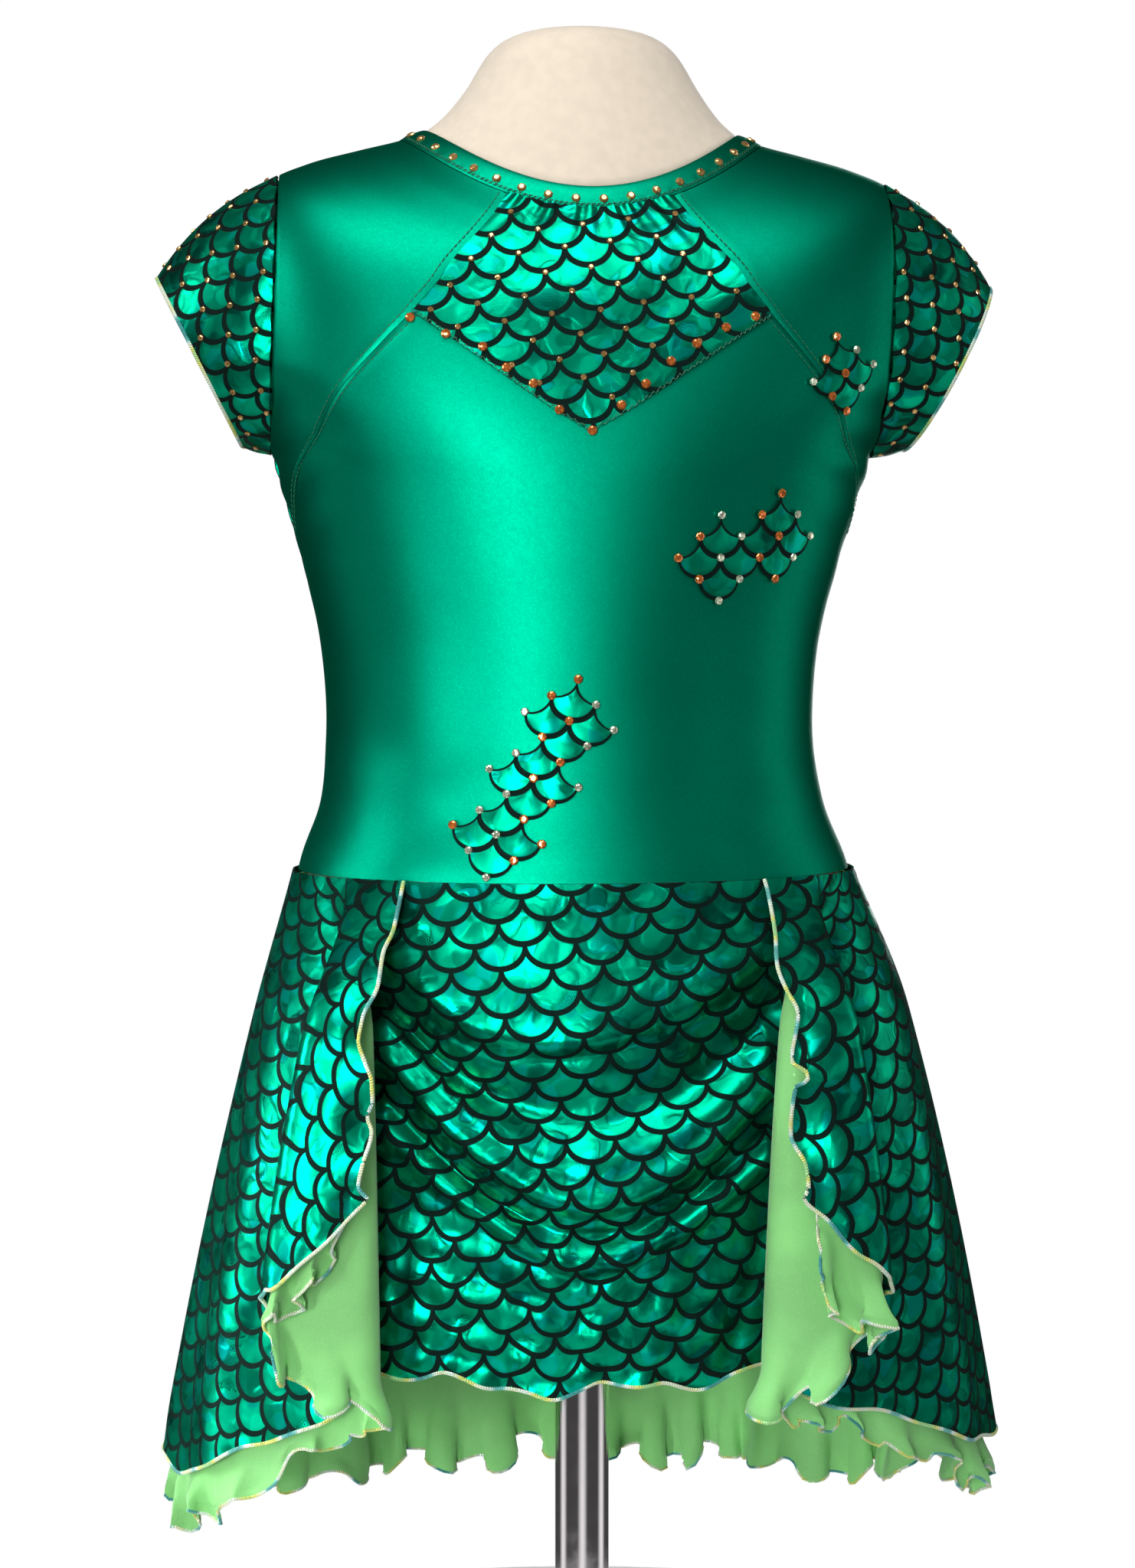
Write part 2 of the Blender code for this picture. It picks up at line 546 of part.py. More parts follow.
def skirt_levels(along, hem, steps):
    """Heights down an open skirt: the same levels near the waist for both layers, then to the hem."""
    upper = [np.full(np.shape(along), level) for level in SKIRT_LEVELS]
    share = np.linspace(0, 1, steps + 1)[1:, None]
    return np.concatenate([upper, upper[-1] + (hem - upper[-1]) * share])


def build_overskirt(finish):
    """The outer open skirt, from front edge to front edge round the back."""
    along = np.arange(0, LAST_FOLD * FOLD_STEPS + 1) / FOLD_STEPS
    height = skirt_levels(along, rounded(FOLDS["over_z"], along), 3)
    along = np.broadcast_to(along, height.shape)
    points, normals = skirt_point(along, height), skirt_normal(along, height)
    low = UNDER_GAP / 2
    wall("overskirt", points[:, ::-1], normals[:, ::-1], low, low + LIGHT_CLOTH, finish)


def build_underskirt(finish):
    """The softer layer inside the outer skirt, longer, with a ruffle of there-and-back waves."""
    along = np.arange(UNDER_SKIPPED, LAST_FOLD * FOLD_STEPS + 1) / FOLD_STEPS
    outer_hem = rounded(FOLDS["over_z"], along)
    hem = rounded(FOLDS["under_z"], along)
    height = skirt_levels(along, hem, 4)
    along = np.broadcast_to(along, height.shape)
    points, normals = skirt_point(along, height), skirt_normal(along, height)
    drop = (WAIST_SEAM - height) / (WAIST_SEAM - HEM_LEVEL)
    apart = UNDER_LOFT * (1 - np.exp(-(WAIST_SEAM - height) / UNDER_LOFT_DROP)) + UNDER_SPREAD * drop
    free = np.clip((outer_hem - height) / (outer_hem - hem), 0, 1)
    pace = np.linalg.norm(np.gradient(points, axis=1), axis=-1)
    wave = np.arange(height.shape[1]) % 2 * np.minimum(RUFFLE_HEIGHT, pace * RUFFLE_SLOPE)
    points = points - normals * (apart + free * wave)[..., None]
    low = -UNDER_GAP / 2 - LIGHT_CLOTH
    wall("underskirt", points[:, ::-1], normals[:, ::-1], low, low + LIGHT_CLOTH, finish)


def build_apron(finish):
    """The front skirt panel with its draped folds."""
    across, share = np.meshgrid(np.linspace(-1, 1, APRON_ACROSS + 1), np.linspace(0, 1, APRON_DOWN + 1))
    turn = across * math.radians(APRON_WAIST_DEG)
    seam = body_point(turn, np.full(turn.shape, float(ROW["seam"])))
    top = WAIST_SEAM - SEAM_GAP
    hem_z = APRON_HEM_MIDDLE + (APRON_HEM_SIDE - APRON_HEM_MIDDLE) * across**2
    height = top + (hem_z - top) * share
    hem_x = APRON_CENTRE_X + APRON_HALF_WIDTH * across
    hem_y = -APRON_FRONT + (APRON_FRONT - APRON_SIDE_DEPTH) * np.abs(across) ** APRON_ROUND
    settle = 1 - (1 - share) ** 2
    x = seam[..., 0] + (hem_x - seam[..., 0]) * settle
    y = seam[..., 1] + (hem_y - seam[..., 1]) * settle
    for left, middle, right, stand, half in DRAPES.values():
        level = middle + np.where(across < 0, left - middle, right - middle) * np.abs(across) ** DRAPE_CURVE
        y = y - stand * np.exp(-(((height - level) / half) ** 2)) * (1 - across**8)
    points = np.stack([x, y, height], -1)
    normal = np.cross(np.gradient(points, axis=0), np.gradient(points, axis=1))
    normal /= np.linalg.norm(normal, axis=-1, keepdims=True)
    normal[0] = body_normal(turn, np.full(turn.shape, float(ROW["seam"])))[0]
    wall("front_skirt", points, normal, 0.0, CLOTH, finish)


def build_form(finish):
    """The limbless form: neck, trunk with flat armhole ends, closed below the hips."""
    columns = FORM_TURN
    turn = np.linspace(0, 2 * math.pi, columns, endpoint=False)
    neck = np.meshgrid(turn, np.arange(len(NECK), dtype=float))
    upper = body_point(*neck, rings={**NECK, "neck_edge": BODY["neck_edge"]})
    trunk = np.meshgrid(turn, np.linspace(0, ROW["form_bottom"], FORM_DOWN + 1))
    lower = body_point(*trunk)
    below = np.clip(trunk[1] - ROW["waist"], 0, 2) / 2
    inward = FORM_CLEARANCE + (HIP_CLEARANCE - FORM_CLEARANCE) * below
    lower = lower - body_normal(*trunk) * inward[..., None]
    lower[-1, :, 2] = FORM_BOTTOM
    points = np.concatenate([upper, lower])
    centre_x = body_column("centre_x", ROW["arm_middle"])
    limit = ARM_PLANE - ARM_END_INSIDE
    clipped = np.clip(points[..., 0] - centre_x, -limit, limit) + centre_x
    points[..., 0] = np.where(points[..., 2] > ARM_END_LOW, clipped, points[..., 0])
    rows = len(points)
    faces = []
    for i in range(rows - 1):
        for j in range(columns):
            k = (j + 1) % columns
            a, b = i * columns, (i + 1) * columns
            faces.append((a + j, b + j, b + k, a + k))
    faces.append(tuple(range(columns)))
    faces.append(tuple(reversed(range((rows - 1) * columns, rows * columns))))
    add_solid("form", points.reshape(-1, 3), faces, finish)


def turned(name, profile, segments, finish):
    """A solid turned about the upright axis from (radius, height) points, bottom to top."""
    angle = np.linspace(0, 2 * math.pi, segments, endpoint=False)
    rings = np.array([
        np.stack([r * np.cos(angle), r * np.sin(angle), np.full(segments, z)], -1) for r, z in profile
    ])
    faces = []
    for i in range(len(profile) - 1):
        for j in range(segments):
            k = (j + 1) % segments
            a, b = i * segments, (i + 1) * segments
            faces.append((a + j, a + k, b + k, b + j))
    faces.append(tuple(reversed(range(segments))))
    last = (len(profile) - 1) * segments
    faces.append(tuple(range(last, last + segments)))
    return add_solid(name, rings.reshape(-1, 3), faces, finish)


def build_stand(finish):
    """Round base, collar and pole under the form."""
    edge = [
        (BASE_RADIUS - BASE_EDGE * (1 - math.sin(a)), BASE_HEIGHT - BASE_EDGE * (1 - math.cos(a)))
        for a in np.linspace(math.pi / 2, 0, EDGE_STEPS + 1)
    ]
    turned("stand_base", [(BASE_RADIUS, 0.0), *edge], BASE_TURN, finish)
    foot = BASE_HEIGHT + SEAM_GAP
    top = foot + COLLAR_HEIGHT
    collar = [(COLLAR_RADIUS, foot), (COLLAR_RADIUS, top - COLLAR_SLOPE), (COLLAR_RADIUS - BASE_EDGE, top)]
    turned("stand_collar", collar, POLE_TURN, finish)
    pole = [(POLE_RADIUS, top + SEAM_GAP), (POLE_RADIUS, FORM_BOTTOM - SEAM_GAP)]
    turned("stand_pole", pole, POLE_TURN, finish)


def main():
    for obj in list(bpy.data.objects):
        bpy.data.objects.remove(obj)
    foil = material("green_foil_knit", (0.0, 0.27, 0.10), 0.35, 0.6)
    scales = material("scale_print_foil", (0.0, 0.33, 0.16), 0.25, 0.7)
    mesh = material("lime_mesh", (0.22, 0.58, 0.14), 0.8)
    linen = material("form_linen", (0.86, 0.78, 0.62), 0.85)
    chrome = material("stand_chrome", (0.78, 0.78, 0.78), 0.15, 1.0)
    build_neck_band(foil)
    build_bodice(foil)
    build_sleeves(scales)
    build_inset(scales)
    build_patches(scales)
    build_overskirt(scales)
    build_underskirt(mesh)
    build_apron(scales)
    build_form(linen)
    build_stand(chrome)


main()
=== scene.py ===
"""Looks of a child's mermaid-style dance dress on a limbless dress form.

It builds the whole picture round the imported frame, in steps that are an add-on's operators. Cloth pieces
are thin shells computed as grids on the same surfaces as the frame's solids. A turn is an angle round the
body from the front middle, and a row counts down the body's rings. Left and right are the viewer's.
"""

import math

import bpy
import numpy as np
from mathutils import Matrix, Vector


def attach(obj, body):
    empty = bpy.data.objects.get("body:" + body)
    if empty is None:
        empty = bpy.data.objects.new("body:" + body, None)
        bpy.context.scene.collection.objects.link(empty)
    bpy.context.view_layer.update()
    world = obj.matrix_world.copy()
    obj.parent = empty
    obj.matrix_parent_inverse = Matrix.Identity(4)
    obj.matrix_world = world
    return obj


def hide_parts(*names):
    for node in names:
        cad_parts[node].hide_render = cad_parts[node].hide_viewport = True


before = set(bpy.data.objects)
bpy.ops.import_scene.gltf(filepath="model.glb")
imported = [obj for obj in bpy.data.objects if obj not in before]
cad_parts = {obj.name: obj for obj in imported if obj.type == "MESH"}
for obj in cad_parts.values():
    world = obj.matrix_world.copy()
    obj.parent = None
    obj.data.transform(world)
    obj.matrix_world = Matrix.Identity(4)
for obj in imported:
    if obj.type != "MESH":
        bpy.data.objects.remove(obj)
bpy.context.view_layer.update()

bl_info = {
    "name": "Mermaid-style dance dress",
    "version": (1, 0, 0),
    "blender": (4, 5, 0),
    "location": "View3D > Sidebar > Dress",
    "description": "Builds a child's scale-print dance dress on a dress form",
    "category": "Object",
}

# Cloth walls, in metres
KNIT = 0.0008  # foil knit, drawn as thick as it looks at an edge
MESH_CLOTH = 0.0006
BINDING_WALL = 0.0012

# How far a piece's outer face lies above the body surface, or above the fold surface of the skirts
PANEL_OUT = 0.0011
BINDING_OUT = 0.0012
LAID_OUT = 0.0027  # the inset and the patches
OVERSKIRT_OUT = 0.00125
UNDERSKIRT_OUT = -0.0005

# Heights of the dress and the form, and the distance from the middle to an armhole's plane
WAIST_SEAM = 0.5480
FORM_BOTTOM = 0.4250
ARM_PLANE = 0.1460
HEM_LEVEL = 0.2500
KNEE_LEVEL = 0.4800
SEAM_GAP = 0.0003
SEAM_TURN, ARM_SEAM_TURN = 0.0012, 0.001  # half a seam's gap as a turn, at the seams and at the armholes

# Rings of the dressed body, neck to hip, each with the columns named here.
BODY_COLUMNS = (
    "z_side", "z_front", "z_back", "half_width", "front", "back", "square", "centre_x",
)
BODY = {
    "neck_edge": (0.9065, 0.8720, 0.8960, 0.0770, 0.0580, 0.0520, 2.00, -0.0010),
    "band_edge": (0.9015, 0.8610, 0.8860, 0.0885, 0.0625, 0.0590, 2.05, -0.0010),
    "yoke": (0.8960, 0.8480, 0.8710, 0.1090, 0.0700, 0.0670, 2.20, -0.0010),
    "shoulder": (0.8890, 0.8340, 0.8540, 0.1330, 0.0770, 0.0745, 2.35, -0.0010),
    "shoulder_tip": (0.8790, 0.8190, 0.8370, 0.1530, 0.0820, 0.0805, 2.45, -0.0010),
    "arm_high": (0.8590, 0.8030, 0.8170, 0.1650, 0.0860, 0.0845, 2.45, -0.0015),
    "arm_middle": (0.8290, 0.7850, 0.7950, 0.1680, 0.0895, 0.0865, 2.40, -0.0025),
    "arm_low": (0.7960, 0.7650, 0.7710, 0.1640, 0.0920, 0.0870, 2.35, -0.0035),
    "underarm": (0.7620, 0.7460, 0.7490, 0.1495, 0.0930, 0.0860, 2.30, -0.0045),
    "ribs": (0.7330, 0.7270, 0.7280, 0.1405, 0.0925, 0.0840, 2.20, -0.0050),
    "midriff": (0.6960, 0.6950, 0.6950, 0.1300, 0.0910, 0.0810, 2.15, -0.0055),
    "above_waist": (0.6580, 0.6580, 0.6580, 0.1215, 0.0895, 0.0785, 2.10, -0.0060),
    "waist": (0.6180, 0.6180, 0.6180, 0.1190, 0.0895, 0.0780, 2.10, -0.0060),
    "below_waist": (0.5820, 0.5820, 0.5820, 0.1230, 0.0925, 0.0820, 2.10, -0.0050),
    "seam": (0.5480, 0.5480, 0.5480, 0.1350, 0.0970, 0.0880, 2.10, -0.0040),
    "hip": (0.5080, 0.5080, 0.5080, 0.1400, 0.0960, 0.0930, 2.10, -0.0030),
    "low_hip": (0.4650, 0.4650, 0.4650, 0.1400, 0.0920, 0.0930, 2.10, -0.0030),
    "form_bottom": (0.4250, 0.4250, 0.4250, 0.1330, 0.0860, 0.0860, 2.10, -0.0030),
}
NECK = {
    "cap": (0.9555, 0.9555, 0.9555, 0.0230, 0.0200, 0.0200, 2.00, 0.0000),
    "cap_edge": (0.9520, 0.9520, 0.9520, 0.0370, 0.0320, 0.0320, 2.00, 0.0000),
    "throat": (0.9440, 0.9420, 0.9430, 0.0470, 0.0400, 0.0395, 2.00, 0.0000),
    "collar": (0.9280, 0.9200, 0.9230, 0.0570, 0.0460, 0.0440, 2.00, 0.0000),
    "neck_root": (0.9150, 0.8960, 0.9080, 0.0670, 0.0525, 0.0480, 2.00, -0.0005),
}
ROW = {name: i for i, name in enumerate(BODY)}
PANEL_TOP = ROW["band_edge"] + 0.03

# Share of the front's quarter turn at which the curved shoulder seam crosses each ring.
SHOULDER_SEAM = {
    "band_edge": 0.285, "yoke": 0.262, "shoulder": 0.25, "shoulder_tip": 0.25, "arm_high": 0.277,
    "arm_middle": 0.343, "arm_low": 0.445, "underarm": 0.60, "ribs": 0.81, "midriff": 1.0,
}
INSET_CORNER_ROW, INSET_POINT_ROW = 5.20, 7.50
INSET_EDGE_BEND = 1.4
INSET_GAP = 0.004  # between the inset and the curved seams, as a turn
SLEEVE_TOP, SLEEVE_UNDER = (0.2040, 0.8348), (0.1640, 0.7558)  # hem's ends: out from the middle, height
SLEEVE_HALF_DEPTH, SLEEVE_BACK = 0.041, 0.002
SLEEVE_BULGE = 0.005
ARM_CLEAR = 0.0013  # room for the panel's wall where a sleeve starts

# Scale print: width of a scale and step between rows, on the skirts and on the bodice's pieces
SKIRT_SCALE = (0.0233, 0.0110)
BODICE_SCALE = (0.0208, 0.0099)
INSET_SCALE = (0.0217, 0.0102)
INSET_TILT, INSET_JOINT = 8.0, (-0.0034, 0.7591)  # the rows' slope in degrees and a joint's x and z
# Print coordinates of a sleeve laid flat: what each gains for a metre across and up, and where it starts
SLEEVE_PRINT = {
    "left": ((-57.1, 7.1, 0.26), (-7.1, -94.2, -4.49)),
    "right": ((-56.7, 7.1, 5.10), (4.0, -97.0, -5.02)),
}
APRON_TILT, APRON_SHIFT = 4.0, (-0.11, -0.40)

# Patches: place of the top joint in the front view, turn in degrees, size, and each scale's place in
# half widths to the right and rows down
PATCHES = {
    "applique_chest": ((0.1120, 0.8015), 0.0, 0.86, ((0, 0), (-1, 1), (1, 1), (0, 2))),
    "applique_bust": (
        (0.0860, 0.7290), 0.0, 1.0,
        ((0, 0), (-1, 1), (1, 1), (0, 2), (-3, 1), (-4, 2), (-2, 2), (-3, 3)),
    ),
    "applique_column": (
        (-0.0095, 0.6420), -12.0, 1.0,
        ((0, 0), (-1, 1), (1, 1), (0, 2), (-1, 3), (-2, 4), (0, 4), (-1, 5), (-2, 6), (-3, 7), (-1, 7),
         (-2, 8)),
    ),
}

# Folds of the open skirts, with the columns named here
FOLD_COLUMNS = ("waist_deg", "knee_x", "knee_y", "hem_x", "hem_y", "over_z", "under_z")
LEFT_FOLDS = {
    "front_edge": (-38.0, -0.1040, -0.1330, -0.1080, -0.1480, 0.4116, 0.4050),
    "tip_front": (-45.0, -0.1320, -0.1290, -0.1620, -0.1440, 0.3740, 0.3540),
    "tip_back": (-50.0, -0.1330, -0.1170, -0.1630, -0.1280, 0.3600, 0.3360),
    "inner_front": (-56.0, -0.1100, -0.1120, -0.1110, -0.1220, 0.3250, 0.3060),
    "inner_back": (-61.0, -0.1110, -0.0990, -0.1120, -0.1050, 0.3120, 0.2960),
    "second_pass": (-70.0, -0.1390, -0.0780, -0.1640, -0.0860, 0.2850, 0.2640),
    "side": (-82.0, -0.1570, -0.0400, -0.1990, -0.0420, 0.2620, 0.2340),
}
RIGHT_FOLDS = {
    "side": (82.0, 0.1550, -0.0400, 0.1990, -0.0420, 0.2680, 0.2440),
    "second_pass": (70.0, 0.1330, -0.0780, 0.1530, -0.0860, 0.2900, 0.2740),
    "inner_back": (61.0, 0.0900, -0.0990, 0.0830, -0.1050, 0.3140, 0.3000),
    "inner_front": (56.0, 0.0890, -0.1120, 0.0820, -0.1220, 0.3260, 0.3090),
    "tip_back": (50.0, 0.1130, -0.1170, 0.1370, -0.1280, 0.3600, 0.3380),
    "tip_front": (45.0, 0.1120, -0.1290, 0.1360, -0.1440, 0.3740, 0.3480),
    "front_edge": (38.0, 0.0850, -0.1330, 0.0870, -0.1480, 0.4090, 0.3560),
}
# Flutes of the back: how far each stands out at the hem as a share, and how much of it shows at the knee
BACK_FLUTES = (0.020, -0.055, 0.060, -0.070, 0.055, -0.050, 0.065, -0.065, 0.060, -0.060, 0.050,
               -0.045, 0.020)
KNEE_FLUTE = 0.35
BACK_FROM, BACK_TO = 96.0, 264.0
# Half axes of the back's plan, and its hem levels with their rise at the sides
BACK_HEM = (0.2020, 0.1750)
BACK_KNEE = (0.1580, 0.1090)
BACK_OVER_Z, BACK_UNDER_Z = 0.2360, 0.2000
BACK_OVER_RISE, BACK_UNDER_RISE = 0.0280, 0.0340
LAYER_MIDDLE = 0.00285  # the fold surface above the body at the seam

# Front skirt: its half angle at the seam, its plan at the hem, and the hem's levels
APRON_WAIST_DEG = 50.0
APRON_HALF_WIDTH = 0.1120
APRON_CENTRE_X = -0.0060
APRON_FRONT, APRON_SIDE_DEPTH = 0.1130, 0.0835
APRON_ROUND = 2.2
APRON_HEM_MIDDLE, APRON_HEM_SIDE = 0.3150, 0.3230
# Draped folds across it, from the seam down: the level of each line of cloth at five places from left to
# right, and how far the cloth stands out along it at the middle and at the sides.
DRAPES = {
    "seam": (0.5480, 0.5480, 0.5480, 0.5480, 0.5480, 0.0000, 0.0000),
    "slack_top": (0.5320, 0.5200, 0.5130, 0.5200, 0.5320, 0.0045, 0.0020),
    "upper_lip": (0.5150, 0.4850, 0.4785, 0.4930, 0.5150, 0.0120, 0.0080),
    "upper_foot": (0.5000, 0.4720, 0.4680, 0.4800, 0.5000, 0.0042, -0.0005),
    "hollow": (0.4890, 0.4550, 0.4430, 0.4520, 0.4840, -0.0042, -0.0065),
    "long_rise": (0.4800, 0.4400, 0.4180, 0.4300, 0.4640, 0.0085, 0.0060),
    "long_lip": (0.4690, 0.4270, 0.4050, 0.4170, 0.4520, 0.0130, 0.0095),
    "long_foot": (0.4570, 0.4160, 0.3950, 0.4060, 0.4400, 0.0050, -0.0010),
    "second_hollow": (0.4480, 0.4090, 0.3880, 0.3990, 0.4320, 0.0015, -0.0040),
    "under_lip": (0.4320, 0.4000, 0.3760, 0.3900, 0.4190, 0.0085, 0.0065),
    "under_foot": (0.4210, 0.3910, 0.3670, 0.3810, 0.4090, 0.0025, 0.0000),
    "low": (0.3950, 0.3720, 0.3500, 0.3620, 0.3880, 0.0000, -0.0010),
}
DRAPE_PLACES = (-0.0998, -0.0560, -0.0115, 0.0330, 0.0781)

# Wavy front edges of the outer skirt: how far the edge lies to the right of the plain fold at each level.
LEFT_EDGE = (
    (0.5477, 0.0010), (0.5280, 0.0007), (0.5176, -0.0016), (0.5050, -0.0010), (0.4920, -0.0059),
    (0.4820, -0.0067), (0.4710, -0.0030), (0.4640, -0.0004), (0.4560, -0.0002), (0.4480, -0.0024),
    (0.4410, -0.0003), (0.4270, -0.0037), (0.4180, -0.0053), (0.4100, 0.0006),
)
RIGHT_EDGE = (
    (0.5477, -0.0048), (0.5416, -0.0037), (0.5256, -0.0032), (0.5100, -0.0055), (0.5010, -0.0028),
    (0.4910, 0.0019), (0.4820, 0.0005), (0.4700, -0.0016), (0.4654, 0.0044), (0.4620, 0.0048),
    (0.4590, -0.0012), (0.4480, -0.0029), (0.4370, -0.0024), (0.4240, 0.0032), (0.4155, 0.0038),
    (0.4070, 0.0012), (0.3990, 0.0060),
)


# Curves and surfaces

STEP, HEIGHT_STEP = 1e-3, 1e-4  # small steps of a turn, row or fold, and of a height, for slopes
HALVINGS, CORRECTIONS = 40, 30
WALK_STEPS = 8
ARM_SAMPLES = 2001


def hermite(f, start, end, slope_start, slope_end):
    """Cubic that leaves start with one slope and arrives at end with the other as f goes from 0 to 1."""
    return (
        (2 * f**3 - 3 * f**2 + 1) * start + (f**3 - 2 * f**2 + f) * slope_start
        + (3 * f**2 - 2 * f**3) * end + (f**3 - f**2) * slope_end
    )


def through(levels, values, at):
    """Cubic pieces through values at rising levels, whose slopes are harmonic means of the chords."""
    at = np.asarray(at, float)
    values = np.asarray(values, float)
    shape = (len(levels),) + (1,) * at.ndim
    if values.ndim == 1:
        values = values.reshape(shape)
    values = np.broadcast_to(values, (len(levels), *at.shape))
    slope = np.diff(values, axis=0) / np.diff(np.reshape(levels, shape), axis=0)
    product = slope[1:] * slope[:-1]
    total = slope[1:] + slope[:-1]
    middle = np.where(product > 0, 2 * product / np.where(total == 0, 1, total), 0.0)
    tangent = np.concatenate([slope[:1], middle, slope[-1:]])
    cell = np.clip(np.searchsorted(levels, at, side="right") - 1, 0, len(levels) - 2)
    start, end, slope_start, slope_end = (
        np.take_along_axis(table, cell[None], 0)[0]
        for table in (values, values[1:], tangent, tangent[1:])
    )
    width = np.diff(levels)[cell]
    f = np.clip((at - np.asarray(levels)[cell]) / width, 0, 1)
    return hermite(f, start, end, width * slope_start, width * slope_end)


def rounded(values, at):
    """Catmull-Rom curve: cubic pieces through evenly spaced values, slopes half the outer chord."""
    values = np.asarray(values, float)
    padded = np.concatenate([[2 * values[0] - values[1]], values, [2 * values[-1] - values[-2]]])
    cell = np.clip(np.floor(at).astype(int), 0, len(values) - 2)
    before, start, end, after = (padded[cell + k] for k in range(4))
    return hermite(at - cell, start, end, (end - before) / 2, (after - start) / 2)


def body_column(name, row):
    """One column of the body's rings, read at a row."""
    k = BODY_COLUMNS.index(name)
    return rounded([ring[k] for ring in BODY.values()], row)


def body_point(turn, row, rings=BODY):
    """Superellipse ring: x and y are the half axes times powers of sine and cosine of the turn, and the
    height goes from the side's to the front's or back's with the cosine squared."""
    table = np.array(list(rings.values()))
    z_side, z_front, z_back, wide, front, back, square, centre = (
        rounded(table[:, i], row) for i in range(len(BODY_COLUMNS))
    )
    s, c = np.sin(turn), np.cos(turn)
    power = 2 / square
    x = centre + wide * np.sign(s) * np.abs(s) ** power
    y = -np.where(c > 0, front, back) * np.sign(c) * np.abs(c) ** power
    z = z_side + (np.where(c > 0, z_front, z_back) - z_side) * c**2
    return np.stack([x, y, z], -1)


def unit(v):
    """Vectors scaled to length one."""
    return v / np.maximum(np.linalg.norm(v, axis=-1, keepdims=True), 1e-12)


def body_normal(turn, row):
    """Cross product of the surface's two slopes, by small steps."""
    around = body_point(turn + STEP, row) - body_point(turn - STEP, row)
    down = body_point(turn, row + STEP) - body_point(turn, row - STEP)
    return unit(np.cross(down, around))


def arm_turn(row):
    """Turn at which the body surface meets the armhole's plane, from the superellipse's formula."""
    reach = np.clip(ARM_PLANE / body_column("half_width", row), 0, 1)
    return np.arcsin(reach ** (body_column("square", row) / 2))


def arm_rows():
    """First and last row at which the body is wider than the armhole's plane."""
    rows = np.linspace(ROW["band_edge"], ROW["midriff"], ARM_SAMPLES)
    inside = rows[body_column("half_width", rows) > ARM_PLANE]
    return inside[0], inside[-1]


def seam_turn(row):
    """Turn of the curved shoulder seam at each row."""
    rows = [ROW[name] for name in SHOULDER_SEAM]
    share = through(rows, list(SHOULDER_SEAM.values()), np.clip(row, rows[0], rows[-1]))
    return np.minimum(share, 1.0) * math.pi / 2


def row_at_height(turn, height):
    """Row at which the body surface is at a height, for each turn, by halving."""
    low = np.full(np.shape(height), float(ROW["neck_edge"]))
    high = np.full(np.shape(height), float(ROW["seam"]))
    for _ in range(HALVINGS):
        middle = (low + high) / 2
        above = body_point(turn, middle)[..., 2] > height
        low, high = np.where(above, middle, low), np.where(above, high, middle)
    return (low + high) / 2


def front_place(x, z):
    """Turn and row of the front surface point at x and z, by repeated correction of the turn."""
    turn = np.zeros(np.shape(x))
    for _ in range(CORRECTIONS):
        row = row_at_height(turn, z)
        turn = turn + (x - body_point(turn, row)[..., 0]) / ARM_PLANE
    return turn, row_at_height(turn, z)


def surface_step(turn, row, right, down):
    """Turn and row reached by going right and down along the body surface, in a few equal steps."""
    turn, row = turn + np.zeros(np.shape(right)), row + np.zeros(np.shape(right))
    for _ in range(WALK_STEPS):
        around = (body_point(turn + STEP, row) - body_point(turn - STEP, row)) / (2 * STEP)
        along = (body_point(turn, row + STEP) - body_point(turn, row - STEP)) / (2 * STEP)
        pace = np.linalg.norm(around, axis=-1)
        sideways = np.sum(along * around, -1) / pace
        fall = np.sqrt(np.sum(along**2, -1) - sideways**2)
        row_step = down / WALK_STEPS / fall
        turn = turn + (right / WALK_STEPS - row_step * sideways) / pace
        row = row + row_step
    return turn, row


def fold_table():
    """All the folds of the open skirts from the left front edge round the back to the right one."""
    rows = list(LEFT_FOLDS.values())
    for degrees, out in zip(np.linspace(BACK_FROM, BACK_TO, len(BACK_FLUTES)), BACK_FLUTES):
        s, c = math.sin(math.radians(degrees)), math.cos(math.radians(degrees))
        knee = np.array([-BACK_KNEE[0] * s, -BACK_KNEE[1] * c]) * (1 + out * KNEE_FLUTE)
        hem = np.array([-BACK_HEM[0] * s, -BACK_HEM[1] * c]) * (1 + out)
        over_z = BACK_OVER_Z + BACK_OVER_RISE * s**2
        under_z = BACK_UNDER_Z + BACK_UNDER_RISE * s**8
        rows.append((-degrees, *knee, *hem, over_z, under_z))
    rows += [(degrees - 360, *rest) for degrees, *rest in RIGHT_FOLDS.values()]
    return dict(zip(FOLD_COLUMNS, np.array(rows).T))


FOLDS = fold_table()
LAST_FOLD = len(FOLDS["waist_deg"]) - 1


def skirt_point(along, height):
    """Plan points of the folds at seam, knee and hem level, joined upwards by monotone cubics and
    sideways by Catmull-Rom curves."""
    turn = np.radians(FOLDS["waist_deg"])
    row = np.full(len(turn), float(ROW["seam"]))
    seam = body_point(turn, row) + body_normal(turn, row) * LAYER_MIDDLE
    levels = [HEM_LEVEL, KNEE_LEVEL, WAIST_SEAM]
    plan_x = np.array([FOLDS["hem_x"], FOLDS["knee_x"], seam[:, 0]])
    plan_y = np.array([FOLDS["hem_y"], FOLDS["knee_y"], seam[:, 1]])
    cell = np.clip(np.floor(along).astype(int), 0, LAST_FOLD - 1)
    columns = []
    for plan in (plan_x, plan_y):
        left = 2 * plan[:, :1] - plan[:, 1:2]
        right = 2 * plan[:, -1:] - plan[:, -2:-1]
        padded = np.concatenate([left, plan, right], 1)
        before, start, end, after = (through(levels, padded[:, cell + k], height) for k in range(4))
        columns.append(hermite(along - cell, start, end, (end - before) / 2, (after - start) / 2))
    return np.stack([*columns, height], -1)


